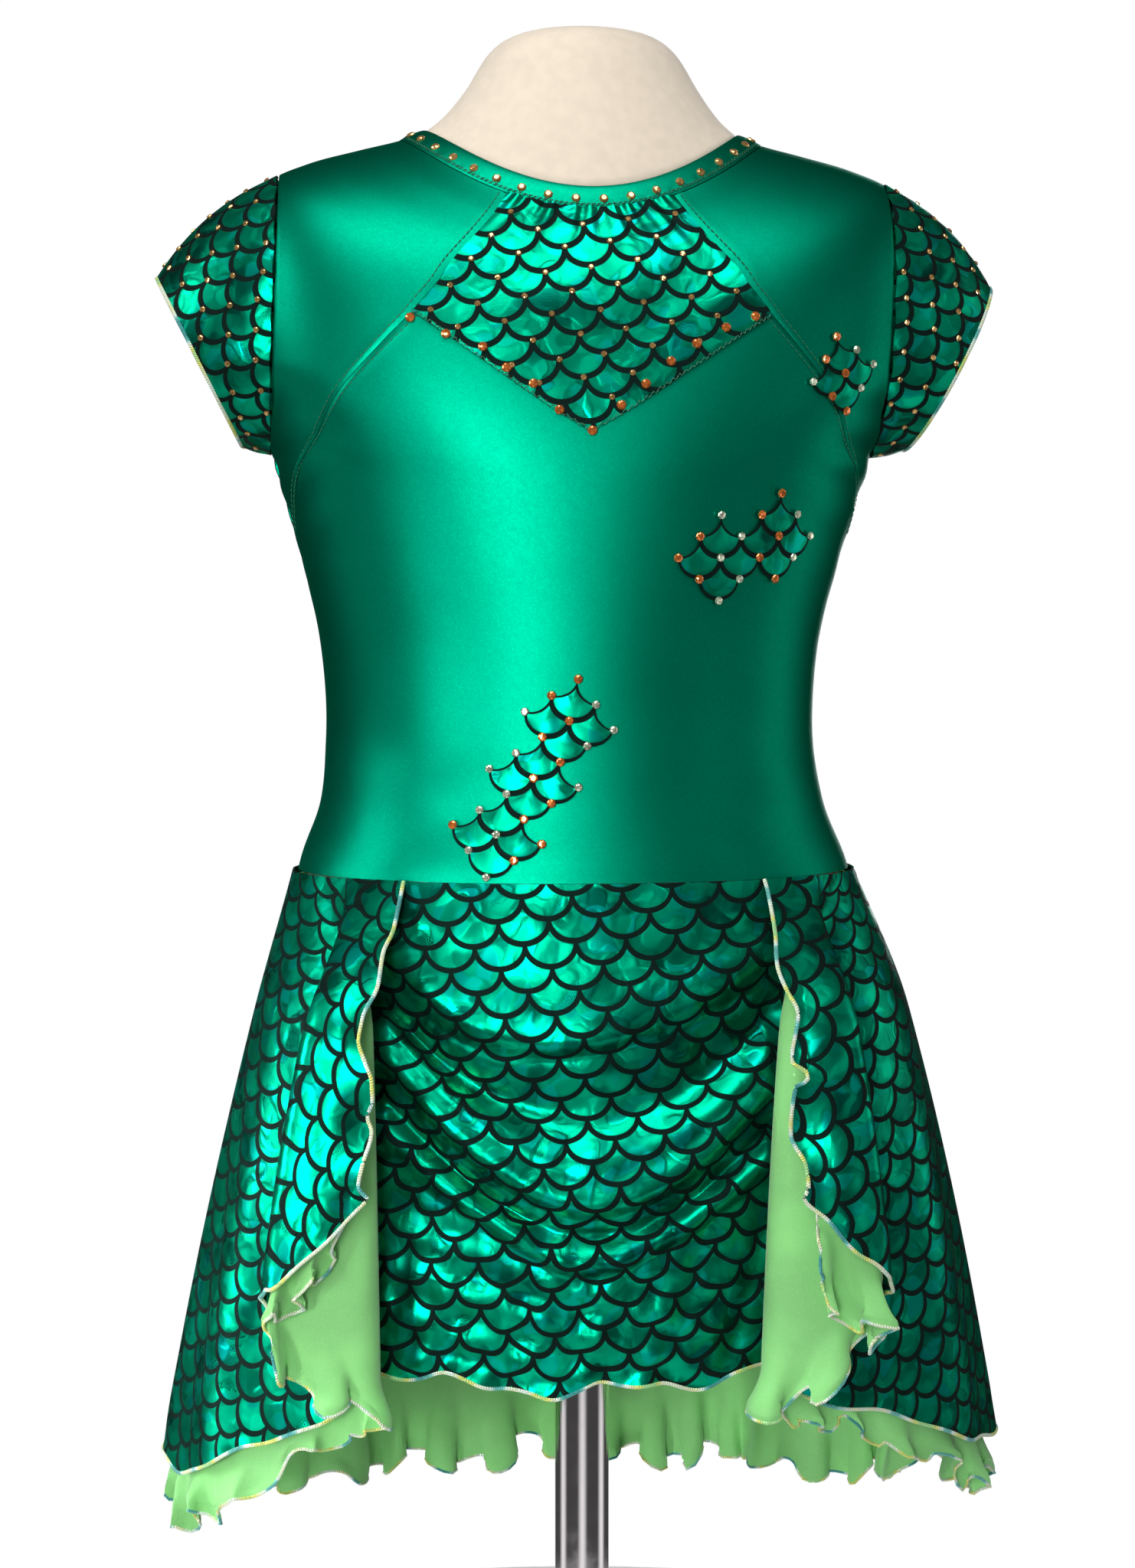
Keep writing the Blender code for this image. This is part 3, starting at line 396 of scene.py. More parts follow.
def skirt_normal(along, height):
    """Cross product of the skirt surface's two slopes, by small steps."""
    around = skirt_point(along + STEP, height) - skirt_point(along - STEP, height)
    down = skirt_point(along, height - HEIGHT_STEP) - skirt_point(along, height + HEIGHT_STEP)
    return unit(np.cross(around, down))


def grid_normal(points):
    """Cross product of a grid's own slopes down and across, pointing to the side that faces out when
    the columns run to the right."""
    return unit(np.cross(np.gradient(points, axis=0), np.gradient(points, axis=1)))


def own_normals(points, guide):
    """A grid's own normals, or the guide's where the two point apart."""
    own = grid_normal(points)
    return unit(np.where(np.sum(own * guide, -1, keepdims=True) > 0, own, guide))


def bump(x):
    """Smooth step: 3 x squared minus 2 x cubed between 0 and 1."""
    x = np.clip(x, 0, 1)
    return x * x * (3 - 2 * x)


def bell(x, width):
    """Bell curve: e to the minus square of x over the width."""
    return np.exp(-((x / width) ** 2))


def waves(at, table):
    """Sum of sines, each given by its height, its pace and its start."""
    return sum(height * np.sin(pace * at + start) for height, pace, start in table)


def circle(count):
    """Angles evenly round a circle."""
    return np.linspace(0, 2 * math.pi, count, endpoint=False)


def lengths(points, axis):
    """Running length along a path or along a grid's rows or columns, from zero."""
    step = np.linalg.norm(np.diff(points, axis=axis), axis=-1)
    total = np.cumsum(step, axis=axis)
    return np.concatenate([np.zeros_like(np.take(total, [0], axis=axis)), total], axis=axis)


def free_border(grid):
    """Path down a grid's first side, along its foot and up its last side."""
    return np.concatenate([grid[:, 0], grid[-1, 1:-1], grid[::-1, -1]])


# Meshes

SHARP_DEGREES = 55
THREAD_SIDES = 7
UPRIGHT = 0.95  # share of a path's direction above which it counts as going up
FAN_LEAST_ANGLE, FAN_LEAST_START = 1e-3, 0.05


def add_mesh(name, points, quads, finish, uv=None, flat=False):
    """One object from points, four-cornered faces and a print coordinate for each point."""
    mesh = bpy.data.meshes.new(name)
    points = np.ascontiguousarray(points, dtype=np.float32)
    quads = np.ascontiguousarray(quads, dtype=np.int32)
    mesh.vertices.add(len(points))
    mesh.vertices.foreach_set("co", points.ravel())
    mesh.loops.add(quads.size)
    mesh.loops.foreach_set("vertex_index", quads.ravel())
    mesh.polygons.add(len(quads))
    mesh.polygons.foreach_set("loop_start", np.arange(0, quads.size, 4, dtype=np.int32))
    mesh.update(calc_edges=True)
    if uv is not None:
        layer = mesh.uv_layers.new(name="print")
        layer.data.foreach_set("uv", np.ascontiguousarray(uv[quads.ravel()], dtype=np.float32).ravel())
    if flat:
        mesh.shade_flat()
    else:
        mesh.shade_smooth()
        mesh.set_sharp_from_angle(angle=math.radians(SHARP_DEGREES))
    mesh.materials.append(finish)
    obj = bpy.data.objects.new(name, mesh)
    bpy.context.scene.collection.objects.link(obj)
    return obj


def size_of(name):
    """One of the scene's sizes, rounded to the seven decimals that a property keeps true."""
    return round(getattr(bpy.context.scene.dress_sizes, name), 7)


def sheet_quads(rows, columns, closed=False):
    """Faces of one grid, wound so that its normal is the cross product of down and across."""
    i = np.arange(rows - 1)[:, None]
    j = np.arange(columns if closed else columns - 1)[None]
    k = (j + 1) % columns
    return np.stack(
        [i * columns + j, (i + 1) * columns + j, (i + 1) * columns + k, i * columns + k], -1
    ).reshape(-1, 4)


def shell_quads(rows, columns, closed=False):
    """Faces of a thin wall: outer grid, inner grid turned over, and the strips that close its edges."""
    outer = sheet_quads(rows, columns, closed)
    count = rows * columns
    inner = outer[:, ::-1] + count
    j = np.arange(columns if closed else columns - 1)
    k = (j + 1) % columns
    last = (rows - 1) * columns
    parts = [
        outer, inner,
        np.stack([j, k, k + count, j + count], -1),
        np.stack([last + k, last + j, last + j + count, last + k + count], -1),
    ]
    if not closed:
        i = np.arange(rows - 1) * columns
        end = i + columns - 1
        parts.append(np.stack([i + columns, i, i + count, i + columns + count], -1))
        parts.append(np.stack([end, end + columns, end + columns + count, end + count], -1))
    return np.concatenate(parts)


def add_shell(name, points, normals, outside, thick, finish, uv, closed=False):
    """A cloth wall between two offsets of a grid, riding on the frame."""
    outer = points + normals * outside
    inner = outer - normals * thick
    rows, columns = points.shape[:2]
    both = np.concatenate([outer.reshape(-1, 3), inner.reshape(-1, 3)])
    uv = np.concatenate([uv.reshape(-1, 2)] * 2)
    obj = add_mesh(name, both, shell_quads(rows, columns, closed), finish, uv)
    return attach(obj, "root")


def centred_uv(points, scale=(1.0, 1.0)):
    """Print coordinates in scale widths and rows: running lengths from the middle column and the top."""
    across = lengths(points, 1)
    down = lengths(points, 0)
    middle = points.shape[1] // 2
    across = across - across[:, middle : middle + 1]
    return np.stack([across / scale[0], down / scale[1]], -1)


def tilted(uv, scale, degrees, shift):
    """Print coordinates turned so that the rows climb to the right, then shifted."""
    t = math.radians(degrees)
    across, down = uv[..., 0] * scale[0], uv[..., 1] * scale[1]
    return np.stack([
        (across * math.cos(t) - down * math.sin(t)) / scale[0] + shift[0],
        (down * math.cos(t) + across * math.sin(t)) / scale[1] + shift[1],
    ], -1)


def fanned_uv(points, scale, lean):
    """Print coordinates of a flared piece laid flat: polar coordinates, whose angle is the growth of the
    running length from top to bottom over the height, plus a lean, and whose radius starts so that the
    top fits."""
    flat = centred_uv(points)
    across, down = flat[..., 0], flat[..., 1]
    angle = (across[-1] - across[0]) / down[-1].mean()
    top = across[0, -1] - across[0, 0]
    start = max(top / max(angle[-1] - angle[0], FAN_LEAST_ANGLE), FAN_LEAST_START)
    u = (start + down) * np.sin(angle + lean)
    v = (start + down) * np.cos(angle + lean) - start
    return np.stack([u / scale[0], v / scale[1]], -1)


def declare_sheet(obj):
    """Gives the piece back as it is. States a piece's cut as a flat trapezium of its own area: its
    longest column, its top row, and a foot so wide that the mean of top and foot times the length is
    the area.
    """
    return obj


def tube(path, radius, closed=False, sides=THREAD_SIDES):
    """A round thread along a path: rings of points about it in a frame carried along without twist."""
    if closed:
        tangent = unit(np.roll(path, -1, 0) - np.roll(path, 1, 0))
    else:
        tangent = unit(np.gradient(path, axis=0))
    up = np.tile([0.0, 0.0, 1.0], (len(path), 1))
    up[np.abs(tangent[:, 2]) > UPRIGHT] = (1.0, 0.0, 0.0)
    side = unit(np.cross(tangent, up))
    top = np.cross(side, tangent)
    angle = circle(sides)
    rings = (
        path[:, None]
        + side[:, None] * (np.cos(angle) * radius)[None, :, None]
        + top[:, None] * (np.sin(angle) * radius)[None, :, None]
    )
    uv = np.stack(np.broadcast_arrays(lengths(path, 0)[:, None], angle[None] / (2 * math.pi)), -1)
    quads = sheet_quads(len(path), sides, closed=True)
    if closed:
        j = np.arange(sides)
        k = (j + 1) % sides
        last = (len(path) - 1) * sides
        quads = np.concatenate([quads, np.stack([last + j, j, k, last + k], -1)])
    return rings.reshape(-1, 3), quads, uv.reshape(-1, 2)


def joined(name, parts, finish):
    """One object from several lists of points, faces and coordinates, riding on the frame."""
    points, quads, uvs = zip(*parts)
    starts = np.cumsum([0] + [len(p) for p in points[:-1]])
    quads = np.concatenate([q + start for q, start in zip(quads, starts)])
    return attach(add_mesh(name, np.concatenate(points), quads, finish, np.concatenate(uvs)), "root")


def add_edge(name, path, radius, closed=False, sides=THREAD_SIDES):
    """The overlock thread along a piece's raw edge."""
    edge = joined(name, [tube(path, radius, closed, sides)], finish_of("edge"))
    return edge


# Materials

# Foil's glancing reflection, greenish and weak
FOIL_GLANCE = {"Specular IOR Level": 0.2, "Specular Tint": (0.0, 0.18, 0.14, 1)}
FOIL_SPECK = (0.0, 0.55, 0.32, 1)

# Scale print: half the drawn line's width in metres, a scale's ellipse in rows of the print, and the ink
PRINT_LINE = 0.00118
SCALE_TALL = 0.94
PRINT_INK = (0.004, 0.010, 0.008, 1)
SHARD_SIZE = 130.0  # broken hologram patches to a metre
SHARD_BEND = (0.02, 0.02, 0.02)

# Edge thread: turns to a metre, how far a turn slants, the painted shade in the grooves between turns, and
# the dyes along it
THREAD_TURNS = 5200.0
THREAD_SLANT = 0.0011
THREAD_GROOVE_SHADE = (0.01, 0.12, 0.08, 1)
THREAD_DYES = (
    (0.36, (0.02, 0.24, 0.24)), (0.42, (0.10, 0.42, 0.38)), (0.46, (0.60, 0.72, 0.66)),
    (0.52, (0.66, 0.70, 0.44)), (0.58, (0.62, 0.62, 0.10)), (0.66, (0.30, 0.58, 0.22)),
)

STITCH_COLOR = (0.01, 0.16, 0.08)
CHROME_COLOR = (0.80, 0.76, 0.77)
FLOOR_COLOR = (0.92, 0.92, 0.92)
# Stones: colour and how metallic the foil behind it looks
STONE_LOOKS = {
    "amber": ((0.85, 0.22, 0.04), 0.65),
    "gold": ((0.75, 0.42, 0.14), 0.75),
    "crystal": ((0.80, 0.85, 0.62), 0.75),
}
WEAVE_PITCH = 9000.0


def shaded(color, share):
    """A colour scaled by a share, with an alpha of one."""
    return (*[c * share for c in color], 1)


class Nodes:
    """Short ways to lay out the nodes of a material or a world."""

    def __init__(self, owner):
        owner.use_nodes = True
        self.owner = owner
        self.tree = owner.node_tree

    def add(self, kind, inputs=None, **settings):
        """A node with its settings and inputs, each a number, a colour or another node's output."""
        node = self.tree.nodes.new(kind)
        for key, value in settings.items():
            setattr(node, key, value)
        for key, value in (inputs or {}).items():
            self.set(node.inputs[key], value)
        return node

    def set(self, socket, value):
        """Links an output to a socket, or sets its number or colour."""
        if isinstance(value, bpy.types.NodeSocket):
            self.tree.links.new(value, socket)
        else:
            socket.default_value = value

    def math(self, operation, a, b=0.0, c=0.0):
        """The result of one sum on numbers."""
        node = self.add("ShaderNodeMath", {0: a, 1: b, 2: c}, operation=operation)
        return node.outputs[0]

    def remap(self, value, low, high, to_low=0.0, to_high=1.0, smooth=True):
        """A number moved from one range to another and held there."""
        kind = "SMOOTHSTEP" if smooth else "LINEAR"
        node = self.add(
            "ShaderNodeMapRange",
            {0: value, 1: low, 2: high, 3: to_low, 4: to_high},
            interpolation_type=kind,
        )
        return node.outputs[0]

    def mix(self, share, a, b, blend="MIX"):
        """Two colours mixed."""
        node = self.add("ShaderNodeMix", data_type="RGBA", blend_type=blend)
        self.set(node.inputs[0], share)
        self.set(node.inputs[6], a)
        self.set(node.inputs[7], b)
        return node.outputs[2]

    def place(self):
        """Object coordinates, in metres."""
        return self.add("ShaderNodeTexCoord").outputs["Object"]

    def print_place(self):
        """The piece's own print coordinates."""
        return self.add("ShaderNodeUVMap", uv_map="print").outputs[0]

    def noise(self, vector, scale, detail=2.0, roughness=0.5):
        """Cloudy noise from 0 to 1."""
        inputs = {"Vector": vector, "Scale": scale, "Detail": detail, "Roughness": roughness}
        return self.add("ShaderNodeTexNoise", inputs).outputs["Fac"]

    def mottled(self, field, color, share):
        """A colour that goes down to a share of itself where a field is low."""
        return self.mix(self.remap(field, 0.3, 0.7), shaded(color, share), shaded(color, 1))

    def ramp(self, value, stops):
        """Colours at places along a number."""
        node = self.add("ShaderNodeValToRGB", {0: value})
        band = node.color_ramp
        band.elements[0].position, band.elements[0].color = stops[0][0], (*stops[0][1], 1)
        band.elements[1].position, band.elements[1].color = stops[-1][0], (*stops[-1][1], 1)
        for place, color in stops[1:-1]:
            band.elements.new(place).color = (*color, 1)
        return node.outputs[0]

    def bump(self, height, strength, distance, normal=None):
        """A normal bent by a height."""
        inputs = {"Height": height, "Strength": strength, "Distance": distance}
        if normal is not None:
            inputs["Normal"] = normal
        return self.add("ShaderNodeBump", inputs).outputs[0]

    def finish(self, color, roughness, metallic=0.0, normal=None, **more):
        """Sets the shader's own sockets."""
        values = {"Base Color": color, "Roughness": roughness, "Metallic": metallic, **more}
        if normal is not None:
            values["Normal"] = normal
        for key, value in values.items():
            if key == "Base Color" and not isinstance(value, bpy.types.NodeSocket):
                value = (*value, 1)
            self.set(self.tree.nodes["Principled BSDF"].inputs[key], value)
        return self.owner


def foil_knit(color):
    """Plain foil stretch knit: metallic, with a fine grain of broken foil and faint stretch marks."""
    n = Nodes(bpy.data.materials.new("foil_knit"))
    place = n.place()
    grain = n.noise(place, scale=2400.0, roughness=0.6)
    cloud = n.noise(place, scale=16.0, detail=3.0, roughness=0.55)
    fine = n.noise(place, scale=700.0, roughness=0.7)
    dark = shaded(color, 0.80)
    tone = n.mix(n.remap(cloud, 0.35, 0.65, to_high=0.35), shaded(color, 1), dark)
    tone = n.mix(n.remap(fine, 0.3, 0.75), n.mix(0.6, tone, dark), tone)
    speck = n.remap(grain, 0.60, 0.72)
    tone = n.mix(n.math("MULTIPLY", speck, 0.5), tone, FOIL_SPECK)
    rough = n.remap(fine, 0.2, 0.8, 0.44, 0.38)
    normal = n.bump(grain, strength=0.14, distance=0.0005)
    normal = n.bump(cloud, strength=0.02, distance=0.003, normal=normal)
    return n.finish(tone, rough, metallic=0.95, normal=normal, **FOIL_GLANCE)


def scale_print(name, color, step, depth=1.0):
    """Hologram foil with a dark scale print.

    Rows of ellipses are half offset and each row lies over the next. A point belongs to the ellipse of
    the row above it if it is inside, else to one of the next row. The line follows the ellipses' edges.
    """
    n = Nodes(bpy.data.materials.new(name))
    split = n.add("ShaderNodeSeparateXYZ", {0: n.print_place()})
    u, v = split.outputs[0], split.outputs[1]
    place = n.place()
    wobble = n.math("SUBTRACT", n.noise(place, scale=60.0), 0.5)
    u = n.math("ADD", u, n.math("MULTIPLY", wobble, 0.05))

    def ring(row):
        """Distance from the nearest centre of a row, 1 on its ellipse, that centre and the way down."""
        odd = n.math("MULTIPLY", n.math("MODULO", n.math("ABSOLUTE", row), 2.0), 0.5)
        centre = n.math("ADD", n.math("ROUND", n.math("SUBTRACT", u, odd)), odd)
        right = n.math("MULTIPLY", n.math("SUBTRACT", u, centre), 2.0)
        down = n.math("DIVIDE", n.math("SUBTRACT", v, row), SCALE_TALL)
        square = n.math("ADD", n.math("MULTIPLY", right, right), n.math("MULTIPLY", down, down))
        return n.math("SQRT", square), centre, down

    row = n.math("FLOOR", v)
    above = n.math("SUBTRACT", row, 1.0)
    below = n.math("ADD", row, 1.0)
    d_above, c_above, down_above = ring(above)
    d_here, c_here, down_here = ring(row)
    d_below, c_below, _ = ring(below)
    in_above = n.math("LESS_THAN", d_above, 1.0)
    in_here = n.math("LESS_THAN", d_here, 1.0)

    def drawn(distance, down):
        """Darkness of an ellipse's line, which swells from its sides to its foot."""
        swell = n.remap(down, 0.0, 1.0, 0.80, 1.20, smooth=False)
        half = n.math("MULTIPLY", swell, PRINT_LINE / step)
        edge = n.math("DIVIDE", n.math("ABSOLUTE", n.math("SUBTRACT", distance, 1.0)), half)
        return n.remap(edge, 0.90, 1.25, 1.0, 0.0)

    outside = n.math("SUBTRACT", 1.0, in_above)
    own_line = n.math("MULTIPLY", drawn(d_here, down_here), outside)
    line = n.math("MAXIMUM", drawn(d_above, down_above), own_line)

    def pick(a, b, c):
        """The value of the scale that a point belongs to: above, here or below."""
        lower = n.add("ShaderNodeMix", {0: in_here, 2: c, 3: b}, data_type="FLOAT").outputs[0]
        return n.add("ShaderNodeMix", {0: in_above, 2: lower, 3: a}, data_type="FLOAT").outputs[0]

    own = pick(d_above, d_here, d_below)
    key = n.add(
        "ShaderNodeCombineXYZ", {0: pick(c_above, c_here, c_below), 1: pick(above, row, below), 2: 0.37}
    ).outputs[0]
    chance = n.add("ShaderNodeTexWhiteNoise", {"Vector": key}, noise_dimensions="3D").outputs["Value"]

    warp = n.noise(place, scale=70.0, detail=1.0, roughness=0.4)
    offset = n.add(
        "ShaderNodeCombineXYZ", {0: warp, 1: n.noise(place, scale=70.0, detail=1.0), 2: warp}
    ).outputs[0]
    bent = n.add(
        "ShaderNodeVectorMath", {0: offset, 1: SHARD_BEND, 2: place}, operation="MULTIPLY_ADD"
    ).outputs[0]
    shards = n.add(
        "ShaderNodeTexVoronoi", {"Vector": bent, "Scale": SHARD_SIZE, "Smoothness": 0.55},
        feature="SMOOTH_F1",
    )
    shard = n.add("ShaderNodeSeparateColor", {0: shards.outputs["Color"]})
    patch = n.noise(place, scale=38.0, roughness=0.6)

    dark = (color[0] * 0.3, color[1] * 0.30, color[2] * 0.36)
    cyan = (0.0, min(color[1] * 1.15, 1), min(color[2] * 2.0, 1), 1)
    bright = (color[0], min(color[1] * 1.65, 1), min(color[2] * 1.65, 1))
    blend = n.math("ADD", n.math("MULTIPLY", patch, 0.5), n.math("MULTIPLY", shard.outputs[0], 0.28))
    blend = n.math("ADD", blend, n.math("MULTIPLY", chance, 0.22))
    tone = n.ramp(blend, [
        (0.30, dark), (0.45, tuple(c * 0.8 for c in color)), (0.58, color), (0.72, bright),
    ])
    tone = n.mix(n.math("MULTIPLY", n.remap(shard.outputs[1], 0.62, 0.85), 0.45), tone, cyan)
    shade = n.remap(own, 0.65, 1.0, 1.0, 0.72)
    shadow = n.add("ShaderNodeCombineColor", {0: shade, 1: shade, 2: shade}).outputs[0]
    tone = n.mix(1.0, tone, shadow, blend="MULTIPLY")
    tone = n.mix(line, tone, PRINT_INK)

    lean = n.math("MULTIPLY", n.math("SUBTRACT", chance, 0.4), own)
    ridged = n.math("ADD", n.math("MULTIPLY", shard.outputs[2], 0.30), n.math("MULTIPLY", warp, 0.22))
    ridged = n.math("ADD", ridged, n.math("MULTIPLY", lean, 0.55))
    normal = n.bump(ridged, strength=0.26 * depth, distance=0.004)
    grain = n.noise(place, scale=1600.0, detail=1.0)
    normal = n.bump(grain, strength=0.10, distance=0.0004, normal=normal)
    rough = n.remap(shard.outputs[2], 0.0, 1.0, 0.26, 0.38, smooth=False)
    rough = n.math("ADD", rough, n.math("MULTIPLY", line, 0.25))
    metal = n.math("SUBTRACT", 0.88, n.math("MULTIPLY", line, 0.6))
    return n.finish(tone, rough, metal, normal, **FOIL_GLANCE)


def soft_mesh(color):
    """Lime mesh: matt, slightly see-through, with a fine knit grain."""
    n = Nodes(bpy.data.materials.new("soft_mesh"))
    place = n.place()
    cloud = n.noise(place, scale=24.0, detail=3.0)
    grain = n.noise(place, scale=1900.0, roughness=0.6)
    lit = (color[0] * 1.4, color[1] * 1.25, color[2] * 1.3, 1)
    tone = n.mix(n.remap(grain, 0.35, 0.75, to_high=0.25), n.mottled(cloud, color, 0.80), lit)
    normal = n.bump(grain, strength=0.25, distance=0.0004)
    material = n.finish(tone, 0.75, normal=normal, **{"Sheen Weight": 0.25, "Sheen Roughness": 0.5})
    glow = n.add("ShaderNodeBsdfTranslucent", {"Color": tone, "Normal": normal})
    both = n.add("ShaderNodeMixShader", {0: 0.30})
    n.tree.links.new(n.tree.nodes["Principled BSDF"].outputs[0], both.inputs[1])
    n.tree.links.new(glow.outputs[0], both.inputs[2])
    n.tree.links.new(both.outputs[0], n.tree.nodes["Material Output"].inputs[0])
    return material


def overlock_thread():
    """Edge thread whose dye changes along its length, wound in close turns, with painted shade in the
    grooves between them.
    """
    n = Nodes(bpy.data.materials.new("edge_thread"))
    split = n.add("ShaderNodeSeparateXYZ", {0: n.print_place()})
    along = split.outputs[0]
    spot = n.add("ShaderNodeCombineXYZ", {0: along}).outputs[0]
    color = n.ramp(n.noise(spot, scale=55.0, detail=1.0, roughness=0.3), THREAD_DYES)
    slanted = n.math("ADD", along, n.math("MULTIPLY", split.outputs[1], THREAD_SLANT))
    turns = n.math("SINE", n.math("MULTIPLY", slanted, THREAD_TURNS))
    # painted shade: the dye is half mixed with a dark green in the grooves between the turns
    groove_shade_mask = n.remap(turns, -1.0, 0.2)
    color = n.mix(groove_shade_mask, n.mix(0.5, color, THREAD_GROOVE_SHADE), color)
    normal = n.bump(turns, strength=0.5, distance=0.0004)
    return n.finish(color, 0.7, normal=normal, **{"Sheen Weight": 0.2})


def plain_thread():
    """Sewing thread with a slight sheen."""
    n = Nodes(bpy.data.materials.new("stitch_thread"))
    twist = n.noise(n.place(), scale=1500.0, detail=1.0)
    tone = n.mix(twist, shaded(STITCH_COLOR, 0.6), shaded(STITCH_COLOR, 1))
    return n.finish(tone, 0.55, normal=n.bump(twist, strength=0.3, distance=0.0003))


def cut_stone(name):
    """Foil-backed cut stone."""
    color, metallic = STONE_LOOKS[name]
    n = Nodes(bpy.data.materials.new(f"{name}_stone"))
    flash = n.noise(n.place(), scale=420.0, detail=1.0)
    coat = {"Coat Weight": 0.8, "Coat Roughness": 0.03}
    return n.finish(n.mottled(flash, color, 0.55), 0.08, metallic, **coat)


def form_cloth(color):
    """Close plain weave drawn over the form."""
    n = Nodes(bpy.data.materials.new("form_cloth"))
    place = n.place()
    split = n.add("ShaderNodeSeparateXYZ", {0: place})
    weft = n.math("SINE", n.math("MULTIPLY", split.outputs[2], WEAVE_PITCH))
    round_body = n.math("ADD", split.outputs[0], split.outputs[1])
    warp = n.math("SINE", n.math("MULTIPLY", round_body, WEAVE_PITCH))
    weave = n.math("MULTIPLY", weft, warp)
    slub = n.noise(place, scale=160.0, detail=3.0)
    normal = n.bump(weave, strength=0.12, distance=0.0003)
    return n.finish(n.mottled(slub, color, 0.93), 0.88, normal=normal, **{"Sheen Weight": 0.2})


def chrome():
    """Polished tube with faint rubbing."""
    n = Nodes(bpy.data.materials.new("chrome_tube"))
    rub = n.noise(n.place(), scale=90.0, detail=4.0, roughness=0.6)
    normal = n.bump(rub, strength=0.008, distance=0.001)
    return n.finish(CHROME_COLOR, n.remap(rub, 0.3, 0.8, 0.06, 0.14), metallic=1.0, normal=normal)


def floor_paper():
    """Matt paper."""
    n = Nodes(bpy.data.materials.new("floor_paper"))
    tooth = n.noise(n.place(), scale=300.0)
    normal = n.bump(tooth, strength=0.03, distance=0.001)
    return n.finish(n.mottled(tooth, FLOOR_COLOR, 0.985), 0.9, normal=normal)


FINISHES = {}


def finish_of(name):
    """The material of that name, made the first time it is asked for, from the scene's settings."""
    if name in STONE_LOOKS and name not in FINISHES:
        FINISHES[name] = cut_stone(name)
    if name not in FINISHES:
        look = bpy.context.scene.dress_look
        foil = tuple(look.foil_color)
        makers = {
            "foil": lambda: foil_knit(tuple(look.knit_color)),
            "skirt_print": lambda: scale_print("skirt_print", foil, SKIRT_SCALE[1]),
            "bodice_print": lambda: scale_print("bodice_print", foil, BODICE_SCALE[1], depth=0.8),
            "lime": lambda: soft_mesh(tuple(look.lime_color)),
            "edge": overlock_thread,
            "stitch": plain_thread,
            "form": lambda: form_cloth(tuple(look.form_color)),
            "chrome": chrome,
        }
        FINISHES[name] = makers[name]()
    return FINISHES[name]


# Bodice

# Grids: rows of the panels above and below the armhole's foot, their columns, and the binding's
UPPER_ROWS, LOWER_ROWS = 90, 70
PANEL_STEPS, SHOULDER_COLUMNS = 96, 40
BINDING_COLUMNS, BINDING_ROWS = 220, 15
INSET_COLUMNS, INSET_ROWS = 141, 80
SLEEVE_COLUMNS, SLEEVE_ROWS = 145, 44
PATCH_STEPS = 11

# Creases: the row of their middle, how many rows they reach over, and their height
ARM_CREASES, WAIST_CREASES = (8.4, 1.3, 0.0007), (12.6, 1.2, 0.0004)
CREASE_FROM, CREASE_FADE = 0.62, 0.36  # sine of the turn at which the arm's creases start and grow full
# A sewn seam: depth and width of its trough, height and width of the swell beside it
SEAM_TROUGH, SEAM_SWELL = (0.0006, 0.0012), (0.0003, 0.0035)
SHOULDER_END = 0.02  # rows by which the shoulder panels stop above their point
SHOULDER_LEAST = 0.002  # their least width, as a turn

# Binding: its swell and the power that rounds it; its puckers' height, number, row and reach
BINDING_SWELL, BINDING_ROUND = 0.0007, 0.6
BINDING_PUCKERS = (0.00018, 150, 0.8, 0.12)

# Inset: height and fade of the gathers, their two cosines as share, number and start, and a soft swell
GATHER_HEIGHT, GATHER_FADE, GATHER_LEVEL = 0.0009, 5.5, 0.5
GATHERS = ((0.55, 66, 0.0), (0.45, 103, 1.2))
INSET_SWELL = 0.0005

# Sleeves: height, fade and number of the tucks at the armhole, height and pace of the sag
SLEEVE_TUCKS = (0.0007, 9, 19)
SLEEVE_SAG = (0.0010, 4)
SLEEVE_THREAD = 0.0011

# Patches: how far each scale's edge sinks and its middle rises, and a patch's least share of its cut
PATCH_SINK, PATCH_DOME = 0.0004, 0.0006


def spread(steps):
    """Places across a panel from -1 to 1, closer together towards its sides."""
    even = np.linspace(-1, 1, steps + 1)
    return (even + np.sin(even * math.pi / 2)) / 2


def wrinkles(turn, row):
    """Soft uneven creases of a worn-in bodice: slanting cosines at the sides below the armholes and
    level ones above the waist seam, each faded over the rows by a bell curve."""
    arm_row, arm_reach, arm_height = ARM_CREASES
    waist_row, waist_reach, waist_height = WAIST_CREASES
    arm = bell(row - arm_row, arm_reach) * bump((np.abs(np.sin(turn)) - CREASE_FROM) / CREASE_FADE)
    slant = np.cos(9.0 * row - 7.0 * np.abs(turn) + 0.8 * np.sin(5 * turn))
    waist = bell(row - waist_row, waist_reach)
    ripple = np.cos(4.5 * row + 1.3 * np.sin(3.0 * turn + 0.7)) * (0.4 + 0.6 * np.sin(2.2 * turn) ** 2)
    return arm_height * arm * slant + waist_height * waist * ripple


def seam_dip(distance):
    """A sewn seam draws the cloth in: a narrow bell curve down and a wide, low one up."""
    (depth, narrow), (rise, wide) = SEAM_TROUGH, SEAM_SWELL
    return rise * bell(distance, wide) - depth * bell(distance, narrow)


def bodice_shell(name, node, turn, row):
    """One plain panel on the body surface, its side edges drawn in along their seams."""
    points, normals = body_point(turn, row), body_normal(turn, row)
    out = wrinkles(turn, row) + seam_dip(side_distance(points))
    points = points + normals * out[..., None]
    obj = add_shell(name, points, normals, PANEL_OUT, KNIT, finish_of("foil"), centred_uv(points))
    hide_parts(node)
    declare_sheet(obj)


def side_distance(points):
    """For each point of a grid, its distance along the row from the nearer side edge."""
    run = lengths(points, 1)
    return np.minimum(run, run[:, -1:] - run)


def side_turn(rows):
    """Turn at which a panel ends at its side: just short of the armhole, or of a quarter turn."""
    arm_top, arm_bottom = arm_rows()
    at_arm = (rows >= arm_top) & (rows <= arm_bottom)
    return np.where(at_arm, arm_turn(rows) - ARM_SEAM_TURN, math.pi / 2 - SEAM_TURN)


